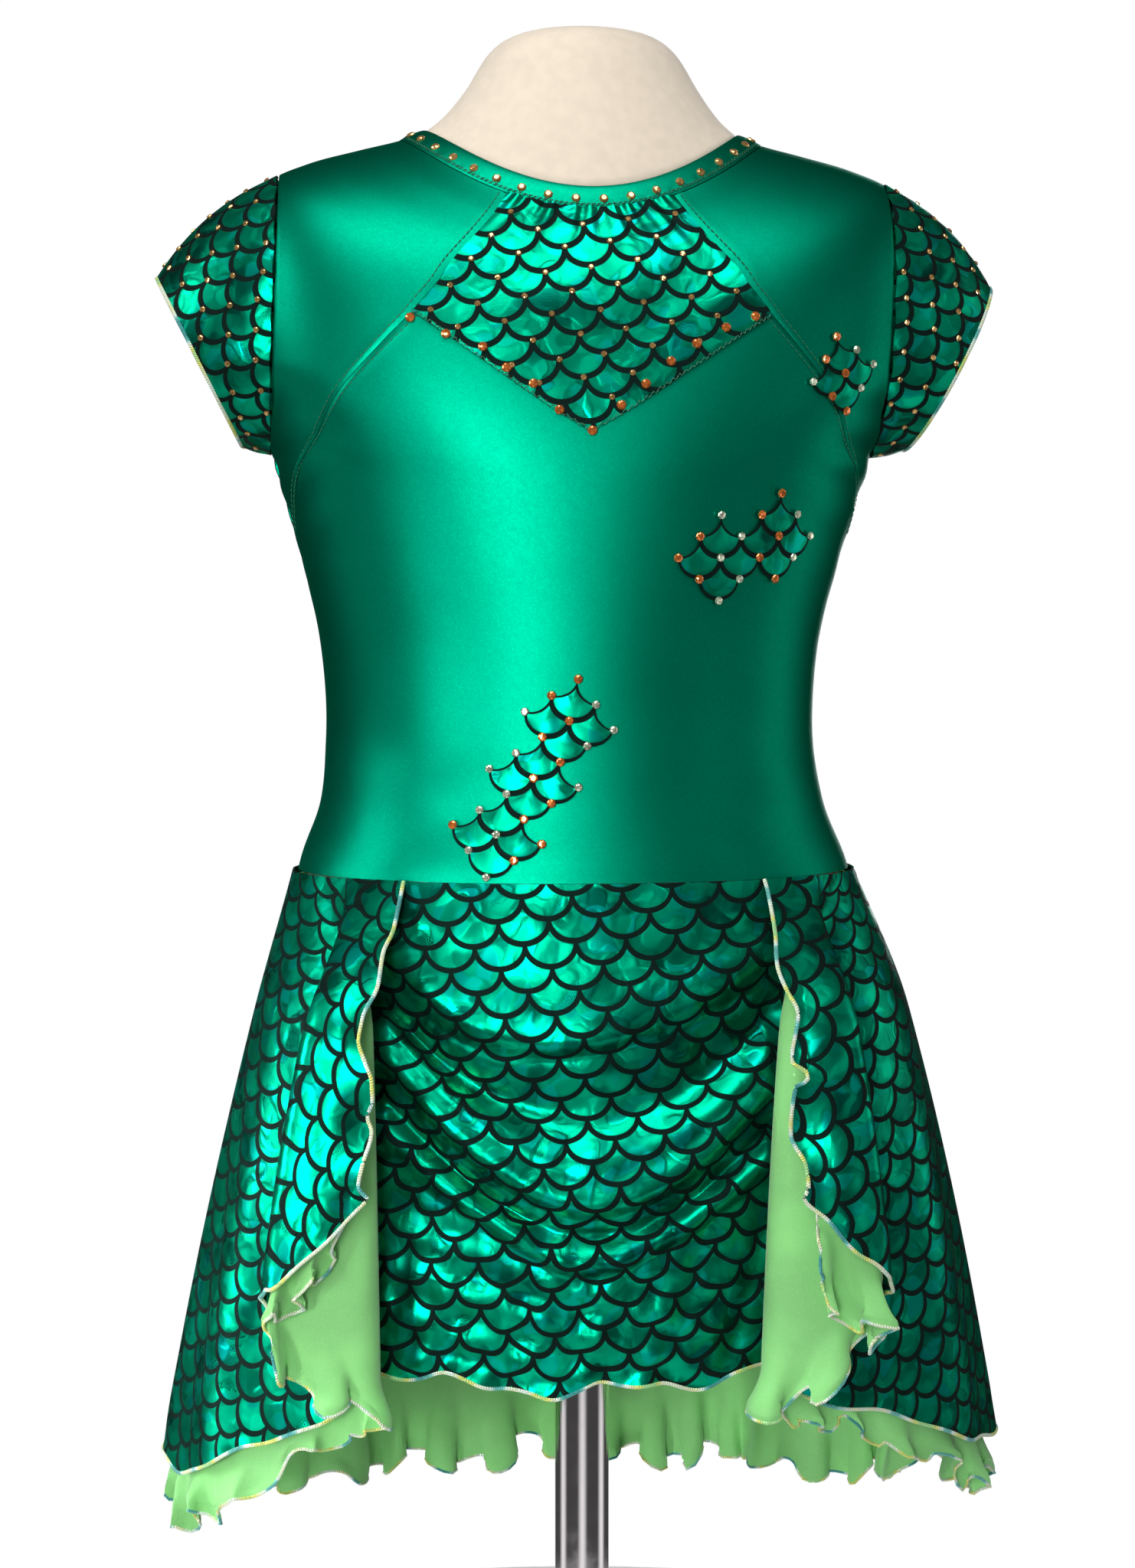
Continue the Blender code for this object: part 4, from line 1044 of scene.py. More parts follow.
def build_panels():
    """The front, the back and the two shoulder panels: grids between their seams' turns, with rows at
    both ends of the armhole."""
    arm_top, arm_bottom = arm_rows()
    rows = np.concatenate([
        np.linspace(PANEL_TOP, arm_bottom, UPPER_ROWS)[:-1],
        np.linspace(arm_bottom, ROW["seam"], LOWER_ROWS),
    ])
    rows[np.argmin(np.abs(rows - arm_top))] = arm_top
    across = spread(PANEL_STEPS)
    row = np.repeat(rows[:, None], len(across), 1)
    bodice_shell("bodice_front", "front_centre", across * (seam_turn(rows) - SEAM_TURN)[:, None], row)
    bodice_shell("bodice_back", "back", math.pi + across * side_turn(rows)[:, None], row)

    rows = rows[rows < ROW["midriff"] - SHOULDER_END]
    row = np.repeat(rows[:, None], SHOULDER_COLUMNS, 1)
    share = np.linspace(0, 1, SHOULDER_COLUMNS)
    inner = seam_turn(rows) + SEAM_TURN
    outer = np.maximum(side_turn(rows), inner + SHOULDER_LEAST)
    for side, name in ((-1, "left"), (1, "right")):
        turn = side * (inner[:, None] + (outer - inner)[:, None] * share)
        bodice_shell(f"bodice_shoulder_{name}", f"shoulder_{name}", turn[:, ::side], row)


def build_binding():
    """The folded binding: rings from the neck's edge down, swelled by a power of a sine and puckered
    beside its stitches by a fast sine under a bell curve."""
    turn, row = np.meshgrid(
        circle(BINDING_COLUMNS), np.linspace(ROW["neck_edge"], ROW["band_edge"], BINDING_ROWS)
    )
    points, normals = body_point(turn, row), body_normal(turn, row)
    height, number, middle, reach = BINDING_PUCKERS
    swell = BINDING_SWELL * np.sin(math.pi * row) ** BINDING_ROUND
    pull = height * np.sin(turn * number) * bell(row - middle, reach)
    points = points + normals * (swell + pull)[..., None]
    binding = add_shell(
        "neck_binding", points, normals, BINDING_OUT, BINDING_WALL, finish_of("foil"),
        centred_uv(points), closed=True,
    )
    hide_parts("neckband")
    declare_sheet(binding)


def inset_foot(across):
    """Row of the V edge, from its corners at -1 and 1 to its point at 0 by a power of the way in."""
    reach = (1 - np.abs(across)) ** INSET_EDGE_BEND
    return INSET_CORNER_ROW + (INSET_POINT_ROW - INSET_CORNER_ROW) * reach


def inset_turn(across, row):
    """Turn of a place across the inset, as a share of the curved seams' turn less a gap."""
    return across * (seam_turn(np.minimum(row, INSET_CORNER_ROW)) - INSET_GAP)


def inset_grid():
    """Turns and rows of the inset, from the binding down to its V edge, and each row's share down."""
    across = np.linspace(-1, 1, INSET_COLUMNS)
    share = np.linspace(0, 1, INSET_ROWS)[:, None]
    row = PANEL_TOP + (inset_foot(across) - PANEL_TOP) * share
    return inset_turn(across, row), row, share


def build_inset():
    """The gathered V: puckers under the binding, a sum of two cosines that stands outwards and fades
    downwards, over a soft uneven swell."""
    turn, row, share = inset_grid()
    points, normals = body_point(turn, row), body_normal(turn, row)
    gather = GATHER_LEVEL + sum(part * np.cos(turn * number + start) for part, number, start in GATHERS)
    gather = GATHER_HEIGHT * np.exp(-share * GATHER_FADE) * gather
    swell = INSET_SWELL * np.sin(turn * 13 + 2.0 * row) * np.sin(share * math.pi)
    points = points + normals * (gather + swell)[..., None]
    right = (points[..., 0] - INSET_JOINT[0]) / INSET_SCALE[0]
    down = (INSET_JOINT[1] - points[..., 2]) / INSET_SCALE[1]
    uv = tilted(np.stack([right, down], -1), INSET_SCALE, INSET_TILT, (0.5, 0.0))
    obj = add_shell("inset_cloth", points, normals, LAID_OUT, KNIT, finish_of("bodice_print"), uv)
    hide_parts("front_inset")
    declare_sheet(obj)
    return points, normals, uv


def sleeve_grid(side):
    """A cap sleeve from its armhole to its oval hem, straight but for a bulge over the top, tucks at the
    armhole and a sag between. Its columns run from the seam under the arm round the back, over the top
    and down the front."""
    arm_top, arm_bottom = arm_rows()
    angle = np.linspace(-math.pi, math.pi, SLEEVE_COLUMNS)
    row = (arm_top + arm_bottom) / 2 - (arm_bottom - arm_top) / 2 * np.cos(angle)
    turn = side * np.where(angle > 0, arm_turn(row), math.pi - arm_turn(row))
    seam = body_point(turn, row)
    lean = np.maximum(side * body_normal(turn, row)[:, 0], 0)
    seam[:, 0] += side * (SEAM_GAP + ARM_CLEAR * lean)
    centre_x = body_column("centre_x", ROW["arm_middle"])
    middle = np.add(SLEEVE_TOP, SLEEVE_UNDER) / 2
    half = np.subtract(SLEEVE_TOP, SLEEVE_UNDER) / 2
    hem = np.stack([
        centre_x + side * (middle[0] + half[0] * np.cos(angle)),
        SLEEVE_BACK - SLEEVE_HALF_DEPTH * np.sin(angle),
        middle[1] + half[1] * np.cos(angle),
    ], -1)
    share = np.linspace(0, 1, SLEEVE_ROWS)[:, None, None]
    plain = seam * (1 - share) + hem * share
    normal = -side * grid_normal(plain)
    tuck_height, tuck_fade, tucks = SLEEVE_TUCKS
    sag_height, sag_pace = SLEEVE_SAG
    around = angle[None, :, None]
    rise = SLEEVE_BULGE * 4 * share * (1 - share) * np.cos(around / 2) ** 2
    tuck = tuck_height * np.exp(-share * tuck_fade) * np.cos(around * tucks)
    sag = sag_height * np.sin(math.pi * share) * np.sin(around * sag_pace + 0.6)
    grid = plain + normal * (rise + tuck + sag)
    normal[:, [0, -1]] = unit(normal[:, :1] + normal[:, -1:])
    flat = unrolled(plain)
    if side > 0:
        return grid[:, ::-1], normal[:, ::-1], flat[:, ::-1]
    return grid, normal, flat


def unrolled(grid):
    """A ruled piece laid flat: each column turns from the last by half a circle less the two corners
    between them, and starts where the steps along the top edge lead; the middle column points down."""
    top = grid[0]
    rule = unit(grid[-1] - top)
    step = np.diff(top, axis=0)
    size = np.linalg.norm(step, axis=-1)
    step = step / size[:, None]
    near = np.arccos(np.clip(np.sum(rule[:-1] * step, -1), -1, 1))
    far = np.arccos(np.clip(-np.sum(rule[1:] * step, -1), -1, 1))
    heading = -np.concatenate([[0], np.cumsum(math.pi - near - far)])
    heading = heading - heading[len(top) // 2] - math.pi / 2
    ahead = heading[:-1] + near
    start = np.stack([np.cos(ahead), np.sin(ahead)], -1) * size[:, None]
    start = np.concatenate([[[0, 0]], np.cumsum(start, 0)])
    start = start - start[len(top) // 2]
    return start + lengths(grid, 0)[..., None] * np.stack([np.cos(heading), np.sin(heading)], -1)


def build_sleeves():
    """Both cap sleeves with their scale print, and the thread round each hem."""
    placed = {}
    for side, name in ((-1, "left"), (1, "right")):
        points, normals, flat = sleeve_grid(side)
        uv = np.stack([
            flat[..., 0] * right + flat[..., 1] * up + start for right, up, start in SLEEVE_PRINT[name]
        ], -1)
        obj = add_shell(
            f"sleeve_cloth_{name}", points, normals, PANEL_OUT, KNIT, finish_of("bodice_print"), uv
        )
        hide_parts(f"sleeve_{name}")
        hem = points[-1, :-1] + normals[-1, :-1] * (PANEL_OUT - KNIT / 2)
        edge = add_edge(f"sleeve_edge_{name}", hem, SLEEVE_THREAD, closed=True)
        declare_sheet(obj)
        placed[name] = (points + normals * PANEL_OUT, normals, uv)
    return placed


def patch_cell(right, down):
    """One scale of the print as a grid between its four joints, whose edges are quarter ellipses: the
    upper two those of the scales above, the lower two its own (a Coons patch of four curves)."""
    t = np.linspace(0, 1, PATCH_STEPS)
    q = t * math.pi / 2
    top, left = np.array([0.0, 0.0]), np.array([-1.0, 1.0])
    foot, side = np.array([0.0, 2.0]), np.array([1.0, 1.0])
    upper_left = np.stack([-1 + np.cos(q), np.sin(q)], -1)
    upper_right = upper_left * (-1, 1)
    lower_left = np.stack([-np.cos(q), 1 + np.sin(q)], -1)
    lower_right = lower_left * (-1, 1)
    s, r = t[:, None, None], t[None, :, None]
    ruled_a = upper_right[None] * (1 - s) + lower_left[None] * s
    ruled_b = upper_left[:, None] * (1 - r) + lower_right[:, None] * r
    flat = top * (1 - s) * (1 - r) + left * s * (1 - r) + side * (1 - s) * r + foot * s * r
    return ruled_a + ruled_b - flat + (right, down)


def on_patch(lattice, start, degrees, size):
    """Turn and row of places given in a patch's half widths and rows, turned and laid on the body."""
    tilt = math.radians(degrees)
    flat = lattice * (BODICE_SCALE[0] / 2 * size, BODICE_SCALE[1] * size)
    right = flat[..., 0] * math.cos(tilt) + flat[..., 1] * math.sin(tilt)
    down = flat[..., 1] * math.cos(tilt) - flat[..., 0] * math.sin(tilt)
    return surface_step(*start, right, down)


def build_patches():
    """Patches of the print, each scale domed by the product of two parabolas. Gives each patch's joints
    with their turns and rows."""
    joints_of = {}
    t = np.linspace(0, 1, PATCH_STEPS)
    arch = 4 * t * (1 - t)
    dome = PATCH_DOME * arch[:, None] * arch
    for name, (place, degrees, size, cells) in PATCHES.items():
        start = front_place(np.array(place[0]), np.array(place[1]))
        parts, joints = [], set()
        for right, down in cells:
            lattice = patch_cell(right, down)
            turn, row = on_patch(lattice, start, degrees, size)
            points, normals = body_point(turn, row), body_normal(turn, row)
            outer = points + normals * (LAID_OUT - PATCH_SINK + dome)[..., None]
            inner = points + normals * (LAID_OUT - KNIT)
            both = np.concatenate([outer.reshape(-1, 3), inner.reshape(-1, 3)])
            uv = np.stack([lattice[..., 0] / 2 + 0.5, lattice[..., 1]], -1).reshape(-1, 2)
            parts.append((both, shell_quads(PATCH_STEPS, PATCH_STEPS), np.concatenate([uv, uv])))
            joints |= {(right, down), (right - 1, down + 1), (right + 1, down + 1), (right, down + 2)}
        obj = joined(f"patch_{name.split('_')[1]}", parts, finish_of("bodice_print"))
        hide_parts(name)
        joints = sorted(joints, key=lambda joint: joint[::-1])
        joints_of[name] = (joints, *on_patch(np.array(joints, float), start, degrees, size))
    return joints_of


# Skirts

# Outer skirt: its grid, the waves of its hem as height, pace and start, and its front edges
SKIRT_ROWS, FOLD_STEPS = 90, 16
OVER_HEM_WAVES = ((0.0016, 5.1, 0.6), (0.0008, 11.3, 0.0))
EDGE_REACH = 0.30  # folds over which an edge's shape fades out
EDGE_STEP = 0.05  # short way in from an edge, in folds, that gives its slope
EDGE_ROLL, EDGE_ROLL_PACE = 0.0022, 150
HEM_LIP, HEM_LIP_REACH = 0.0012, 0.05
PASS_BULGE = 0.0045  # how far the front pass and the second pass swell between their folds
SECOND_PASS = (4, 7)  # folds from the front edge between which the second pass lies
PRINT_LEANS = (-0.85, 0.0, 0.85)  # turn of the print on the outer skirt's right, back and left parts
SKIRT_THREAD = 0.0010

# Lime layer: steps to a fold, shares of its height between which the rows are even, and rows in each
UNDER_STEPS = 30
UNDER_BREAKS, UNDER_ROWS = (0.0, 0.62, 0.93, 1.0), 16
UNDER_START, UNDER_END = 0.25, 0.24  # its front edges stand back by these shares of a pass
UNDER_DROP = 0.003  # its top edge below the outer skirt's
UNDER_CORNER = 0.007  # round corner of its front edges
# How far it stays inside the outer skirt: a gap that opens below the seam, and more towards the hem
UNDER_LOFT, UNDER_LOFT_DROP = 0.0016, 0.006
UNDER_SPREAD = 0.0020
# Ruffles: their length, height, sideways loops and rise, how far their spacing drifts over what lengths,
# and how uneven their height is
RUFFLE_LENGTH, RUFFLE_LOOP, RUFFLE_RISE = 0.031, 0.0044, 0.0046
RUFFLE_DRIFT = ((0.35, 0.061), (0.22, 0.023))
RUFFLE_EVEN, RUFFLE_UNEVEN, UNEVEN_LENGTH = 0.75, 0.25, 0.049
RUFFLE_ABOVE = 0.004  # the ruffles start this far above the outer hem
UNDER_HEM_WAVES = ((0.0036, 0.5, 0.8), (0.0012, 1.3, 0.0))
CURL_REACH, CURL_OUT, CURL_UP = 0.022, 0.0030, 0.0022  # rolled edge: share of the height, out and up
# Wavy front edges of the layer: height, width, and the level and the drop over which they begin
SWAY, SWAY_WIDTH, SWAY_FROM, SWAY_FADE = 0.0022, 0.006, 0.50, 0.06
UNDER_THREAD, UNDER_THREAD_SIDES = 0.0008, 6

# Front skirt: its grid, the waves of its hem and of the hem's lip, and its small creases
APRON_COLUMNS, APRON_ROWS = 181, 200
APRON_HEM_WAVES = ((0.0030, 9.5, 0.4), (0.0016, 21, 1.1))
APRON_LIP, APRON_LIP_REACH = 0.0018, 0.03
DRAPE_POWER = 1.5  # how late the drapes change from their middle's depth to their sides'
HEM_TUCK = 0.005  # the hem hangs lower and further in than the lowest drape by at least this
CREASE, CREASE_UPPER = 0.0014, 0.15  # height of the creases, and the share of it that the upper part has
CREASE_LEVEL, CREASE_DROP = 0.42, 0.06
# Where the lime layer lies over the right side, the drapes lose most of their depth
LIME_FROM, LIME_FADE, LIME_SHARE = 0.74, 0.14, 0.85


def slid_edges(along, height):
    """Places along the folds, moved near each front edge so that the edge follows its measured line."""
    slid = along.copy()
    for table, edge, inward in ((LEFT_EDGE, 0, EDGE_STEP), (RIGHT_EDGE, LAST_FOLD, -EDGE_STEP)):
        levels, shifts = np.array(table[::-1]).T
        at_edge = np.full_like(along, edge)
        pace = skirt_point(at_edge + inward, height) - skirt_point(at_edge, height)
        slope = pace[..., 0] / inward
        slid = slid + through(levels, shifts, height) / slope * np.exp(-np.abs(along - edge) / EDGE_REACH)
    return slid


def overskirt_print(points):
    """Print coordinates of the outer skirt in three parts, each fanned out and leaning its own way."""
    second = SECOND_PASS[1] * FOLD_STEPS
    last = points.shape[1] - 1
    parts = (slice(0, second + 1), slice(second, last - second + 1), slice(last - second, last + 1))
    uvs = [fanned_uv(points[:, part], SKIRT_SCALE, lean) for part, lean in zip(parts, PRINT_LEANS)]
    return np.concatenate([uvs[0][:, :-1], uvs[1][:, :-1], uvs[2]], 1)


def build_overskirt():
    """The open outer skirt: the fold surface with a gently waved hem, rolled front edges and swelling
    front passes. Its columns are reversed at the end, so that they run to the right seen from outside."""
    along, share = np.meshgrid(
        np.linspace(0, LAST_FOLD, LAST_FOLD * FOLD_STEPS + 1), np.linspace(0, 1, SKIRT_ROWS)
    )
    hem = rounded(FOLDS["over_z"], along) + waves(along, OVER_HEM_WAVES)
    top = WAIST_SEAM - SEAM_GAP
    height = top + (hem - top) * share
    slid = slid_edges(along, height)
    points, normals = skirt_point(slid, height), skirt_normal(slid, height)
    down = (WAIST_SEAM - height) / (WAIST_SEAM - HEM_LEVEL)
    from_front = np.minimum(along, LAST_FOLD - along)
    roll = np.sin(height * EDGE_ROLL_PACE + np.where(along < LAST_FOLD / 2, 0.4, 2.1))
    roll = roll * EDGE_ROLL * bell(from_front, EDGE_REACH) * bump(down * 3)
    lip = HEM_LIP * bell(1 - share, HEM_LIP_REACH) * np.sin(along * 7.3 + 1.0)
    swelling = (from_front < 1) | ((from_front > SECOND_PASS[0]) & (from_front < SECOND_PASS[1]))
    bulge = PASS_BULGE * np.sin(math.pi * along) ** 2 * bump(down * 1.3) * swelling
    points = points + normals * (roll + lip + bulge)[..., None]
    points, normals = points[:, ::-1], normals[:, ::-1]
    normals = own_normals(points, normals)
    obj = add_shell(
        "overskirt_cloth", points, normals, OVERSKIRT_OUT, KNIT, finish_of("skirt_print"),
        overskirt_print(points),
    )
    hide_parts("overskirt")
    path = free_border(points + normals * (OVERSKIRT_OUT - KNIT / 2))
    edge = add_edge("overskirt_edge", path, SKIRT_THREAD)
    declare_sheet(obj)


def build_underskirt():
    """The lime layer: below the outer hem it breaks into ruffles whose waves are uneven sines, and its
    very edge rolls over. The phase grows by a full circle for each ruffle along the hem."""
    levels = [np.linspace(a, b, UNDER_ROWS) for a, b in zip(UNDER_BREAKS, UNDER_BREAKS[1:])]
    along, share = np.meshgrid(
        np.linspace(UNDER_START, LAST_FOLD - UNDER_END, (LAST_FOLD - 1) * UNDER_STEPS + 1),
        np.unique(np.concatenate(levels)),
    )
    outer_hem = rounded(FOLDS["over_z"], along)
    hem = rounded(FOLDS["under_z"], along)
    run = lengths(skirt_point(along[0], hem[0]), 0)
    drift = sum(part * np.sin(run / length) for part, length in RUFFLE_DRIFT)
    phase = 2 * math.pi * (run / RUFFLE_LENGTH + drift)
    uneven = RUFFLE_EVEN + RUFFLE_UNEVEN * np.sin(run / UNEVEN_LENGTH + 1.0)
    from_edge = np.abs(run - np.where(along[0] < LAST_FOLD / 2, run[0], run[-1]))
    bend = 1 - np.clip(from_edge / UNDER_CORNER, 0, 1)
    hem = hem + waves(phase, UNDER_HEM_WAVES) + UNDER_CORNER * (1 - np.sqrt(1 - bend**2))
    top = WAIST_SEAM - SEAM_GAP - UNDER_DROP
    height = top + (hem - top) * share
    points, normals = skirt_point(along, height), skirt_normal(along, height)

    below = WAIST_SEAM - height
    apart = UNDER_LOFT * (1 - np.exp(-below / UNDER_LOFT_DROP))
    apart = apart + UNDER_SPREAD * below / (WAIST_SEAM - HEM_LEVEL)
    free = np.clip((outer_hem + RUFFLE_ABOVE - height) / (outer_hem - hem), 0, 1)
    ruffle = size_of("ruffle_height") * uneven
    wave = free**1.3 * ruffle * (np.sin(phase) + 0.25 * np.sin(2.0 * phase + 0.7) - 0.25)
    loop = -(free**2.5) * RUFFLE_LOOP * uneven * np.sin(2 * phase)
    aside = unit(np.gradient(points, axis=1))
    curl, flip = bell(1 - share, CURL_REACH), np.cos(phase + 0.5)
    out = wave - apart + CURL_OUT * curl * flip
    points = points + normals * out[..., None] + aside * loop[..., None]
    points[..., 2] += free**2 * RUFFLE_RISE * np.sin(phase) * uneven + CURL_UP * curl * np.abs(flip)
    down_edge = lengths(points, 0)
    front = bell(from_edge, SWAY_WIDTH) * bump((SWAY_FROM - height) / SWAY_FADE)
    sway = np.sin(down_edge * 175 + np.where(along < LAST_FOLD / 2, 0.0, 1.5))
    sway = sway + 0.5 * np.sin(down_edge * 410)
    points = points + normals * (SWAY * front * sway)[..., None]

    points, normals = points[:, ::-1], normals[:, ::-1]
    normals = own_normals(points, normals)
    obj = add_shell(
        "underskirt_cloth", points, normals, UNDERSKIRT_OUT, MESH_CLOTH, finish_of("lime"),
        centred_uv(points),
    )
    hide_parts("underskirt")
    path = free_border(points + normals * (UNDERSKIRT_OUT - MESH_CLOTH / 2))
    edge = add_edge("underskirt_edge", path, UNDER_THREAD, sides=UNDER_THREAD_SIDES)
    declare_sheet(obj)


def drape_depth(x, height, hem_z):
    """How far the draped cloth stands out: at each place across, the folds' levels come from a curve
    through their five places, and the depth goes from one line's to the next by a smooth step."""
    lines = np.array(list(DRAPES.values()))
    places = np.arange(len(DRAPE_PLACES))
    place = np.interp(x, DRAPE_PLACES, places)
    levels = np.stack([rounded(line[: len(places)], place) for line in lines])
    levels = np.concatenate([levels, np.minimum(hem_z[None], levels[-1:] - HEM_TUCK)])
    centre_line = np.interp(APRON_CENTRE_X, DRAPE_PLACES, places)
    side = np.abs(np.clip((place - centre_line) / 2, -1, 1)) ** DRAPE_POWER
    outs = lines[:, -2:-1] * (1 - side) + lines[:, -1:] * side
    outs = np.concatenate([outs, outs[-1:] - HEM_TUCK])
    passed = (levels[:-1, None] - height[None]) / (levels[:-1] - levels[1:])[:, None]
    passed = np.clip(passed, 0, 1).sum(0)
    cell = np.clip(np.floor(passed).astype(int), 0, len(levels) - 2)
    start, end = np.take_along_axis(outs, cell, 0), np.take_along_axis(outs, cell + 1, 0)
    return start + (end - start) * bump(passed - cell)


def build_apron():
    """The front skirt: a wide panel whose draped folds each rise over a height to a lip and turn under
    it, with small creases from products of sines and a wavy hem."""
    across, share = np.meshgrid(np.linspace(-1, 1, APRON_COLUMNS), np.linspace(0, 1, APRON_ROWS))
    turn = across * math.radians(APRON_WAIST_DEG)
    seam = body_point(turn, np.full(turn.shape, float(ROW["seam"])))
    top = WAIST_SEAM - SEAM_GAP
    hem_z = APRON_HEM_MIDDLE + (APRON_HEM_SIDE - APRON_HEM_MIDDLE) * across**2
    hem_z = hem_z + waves(across, APRON_HEM_WAVES)
    height = top + (hem_z - top) * share
    settle = 1 - (1 - share) ** 2
    hem_x = APRON_CENTRE_X + APRON_HALF_WIDTH * across
    hem_y = -APRON_FRONT + (APRON_FRONT - APRON_SIDE_DEPTH) * np.abs(across) ** APRON_ROUND
    x = seam[..., 0] + (hem_x - seam[..., 0]) * settle
    y = seam[..., 1] + (hem_y - seam[..., 1]) * settle
    open_part = 1 - LIME_SHARE * bump((across - LIME_FROM) / LIME_FADE)
    y = y - drape_depth(x[-1], height, hem_z[-1]) * open_part
    low = bump((CREASE_LEVEL - height) / CREASE_DROP)
    small = np.sin(across * 19 + height * 120 + 1.0) * np.sin(height * 190 - across * 8)
    small = small + 0.6 * np.sin(across * 31 - height * 210) * np.sin(height * 95 + across * 17)
    y = y + CREASE * small * (CREASE_UPPER + (1 - CREASE_UPPER) * low)
    y = y + APRON_LIP * bell(1 - share, APRON_LIP_REACH) * np.sin(across * 17 + 0.7)
    points = np.stack([x, y, height], -1)
    normals = grid_normal(points)
    uv = tilted(centred_uv(points, SKIRT_SCALE), SKIRT_SCALE, APRON_TILT, APRON_SHIFT)
    obj = add_shell("apron_cloth", points, normals, PANEL_OUT, KNIT, finish_of("skirt_print"), uv)
    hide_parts("front_skirt")
    hem = points[-1] + normals[-1] * (PANEL_OUT - KNIT / 2)
    edge = add_edge("apron_edge", hem, SKIRT_THREAD)
    declare_sheet(obj)


# Stones and stitches

# Cut stone: each ring's reach and lift as shares of the radius, and its twist in sides
STONE_RINGS = ((1.0, -0.05, 0), (1.0, 0.20, 0), (0.86, 0.42, 0), (0.52, 0.62, 0.5), (0.02, 0.63, 0.5))
STONE_SIDES = 8
STONE_TURN = 0.7  # turn of each stone from the last
STONE_SIDE_OF = (0.13, 0.21, 0.97)  # a direction that no stone faces, from which its sides are counted

# Binding's stones: their number, the row that they sit on, how far out, and the first one's place
BINDING_STONES, BINDING_STONE_ROW, BINDING_FACE = 36, 0.62, 0.0017
BINDING_STONE_START = 0.45
RING_SAMPLES = 721
# Stones of the V edge: turn in degrees and row
V_STONES = (
    (-25.6, 5.33), (-19.4, 5.52), (-13.6, 5.69), (-10.2, 6.13), (-6.6, 6.45), (-3.4, 7.02), (0.1, 7.50),
    (3.0, 6.90), (5.8, 6.43), (8.9, 5.93), (12.4, 5.55), (17.0, 5.24), (22.1, 5.11),
)
# How near to a joint of the print a grid point must be, in rows, for a stone
INSET_MARGIN, SLEEVE_MARGIN = 0.12, 0.14
# Grid rows and columns at a piece's borders that stay free of stones
INSET_FREE, SLEEVE_FREE = (slice(6, -5), slice(5, -5)), (slice(3, -4), slice(3, -3))

# A stitch: places along it, and how far out each lies as a share of the thread's radius
STITCH_PLACES = np.array([0.0, 0.2, 0.5, 0.8, 1.0])
STITCH_LIFTS = np.array([-0.3, 0.75, 1.0, 0.75, -0.3])
STITCH_SIDES = 5
# Rows of stitches: a stitch's length, the gap to the next, and the thread's radius
SEAM_STITCH = (0.0022, 0.0009, 0.00022)
BINDING_STITCH = (0.0018, 0.0007, 0.00020)
V_STITCH = (0.0022, 0.0004, 0.00025)
SEAM_STITCH_AWAY = 0.0026
SEAM_STITCH_ROWS = (ROW["band_edge"] + 0.1, ROW["ribs"] + 0.6)
STITCH_PROUD, V_STITCH_PROUD = 0.0003, 0.0002
BINDING_STITCH_TURN, BINDING_STITCH_ROWS = 1.35, (0.84, 0.90)
ZIGZAGS, ZIGZAG_ROWS, ZIGZAG_BELOW = 60, 0.10, 0.02
SEAM_SAMPLES, BINDING_SAMPLES, V_SAMPLES = 220, 260, 400


def cut_stones(name, places, normals, radius, finish):
    """Flat-backed cut stones: an eight-sided girdle, a crown that narrows to a table, each turned a
    little differently about its own normal."""
    count = len(places)
    reach, lift, twist = np.array(STONE_RINGS).T[:, None, :, None]
    side = unit(np.cross(normals, np.tile(STONE_SIDE_OF, (count, 1))))[:, None, None]
    other = np.cross(normals, side[:, 0, 0])[:, None, None]
    angle = circle(STONE_SIDES) + np.arange(count)[:, None, None] * STONE_TURN
    angle = (angle + twist * 2 * math.pi / STONE_SIDES)[..., None]
    around = (side * np.cos(angle) + other * np.sin(angle)) * reach[..., None]
    rings = places[:, None, None] + (around + normals[:, None, None] * lift[..., None]) * radius
    points = rings.reshape(-1, 3)
    base = sheet_quads(len(STONE_RINGS), STONE_SIDES, closed=True)[:, ::-1]
    starts = np.arange(count) * len(STONE_RINGS) * STONE_SIDES
    quads = (base[None] + starts[:, None, None]).reshape(-1, 4)
    obj = add_mesh(name, points, quads, finish, np.zeros((len(points), 2)), flat=True)
    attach(obj, "root")


def on_body(turn, row, out):
    """Points and normals of the body surface, moved out."""
    turn, row = np.asarray(turn, float), np.asarray(row, float)
    normals = body_normal(turn, row)
    return body_point(turn, row) + normals * out, normals


def lattice_places(points, normals, uv, free, margin):
    """Grid points nearest to the print's joints, which lie half a width apart in alternate rows, where
    one is within a margin of the joint and inside the piece's free border."""
    inner = np.zeros(points.shape[:2], bool)
    inner[free] = True
    inner, flat = inner.reshape(-1), uv.reshape(-1, 2)
    low, high = np.floor(flat.min(0)).astype(int), np.ceil(flat.max(0)).astype(int)
    found = []
    for row in range(low[1], high[1] + 1):
        columns = np.arange(low[0] + (0.5 if row % 2 == 0 else 0.0), high[0] + 1, 1.0)
        targets = np.stack([columns, np.full(len(columns), float(row))], -1)
        gap = np.linalg.norm((flat[None] - targets[:, None]) * (2.0, 1.0), axis=-1)
        best = gap.argmin(1)
        near = gap[np.arange(len(best)), best] < margin
        found.append(best[near & inner[best]])
    found = np.concatenate(found)
    return points.reshape(-1, 3)[found], normals.reshape(-1, 3)[found]


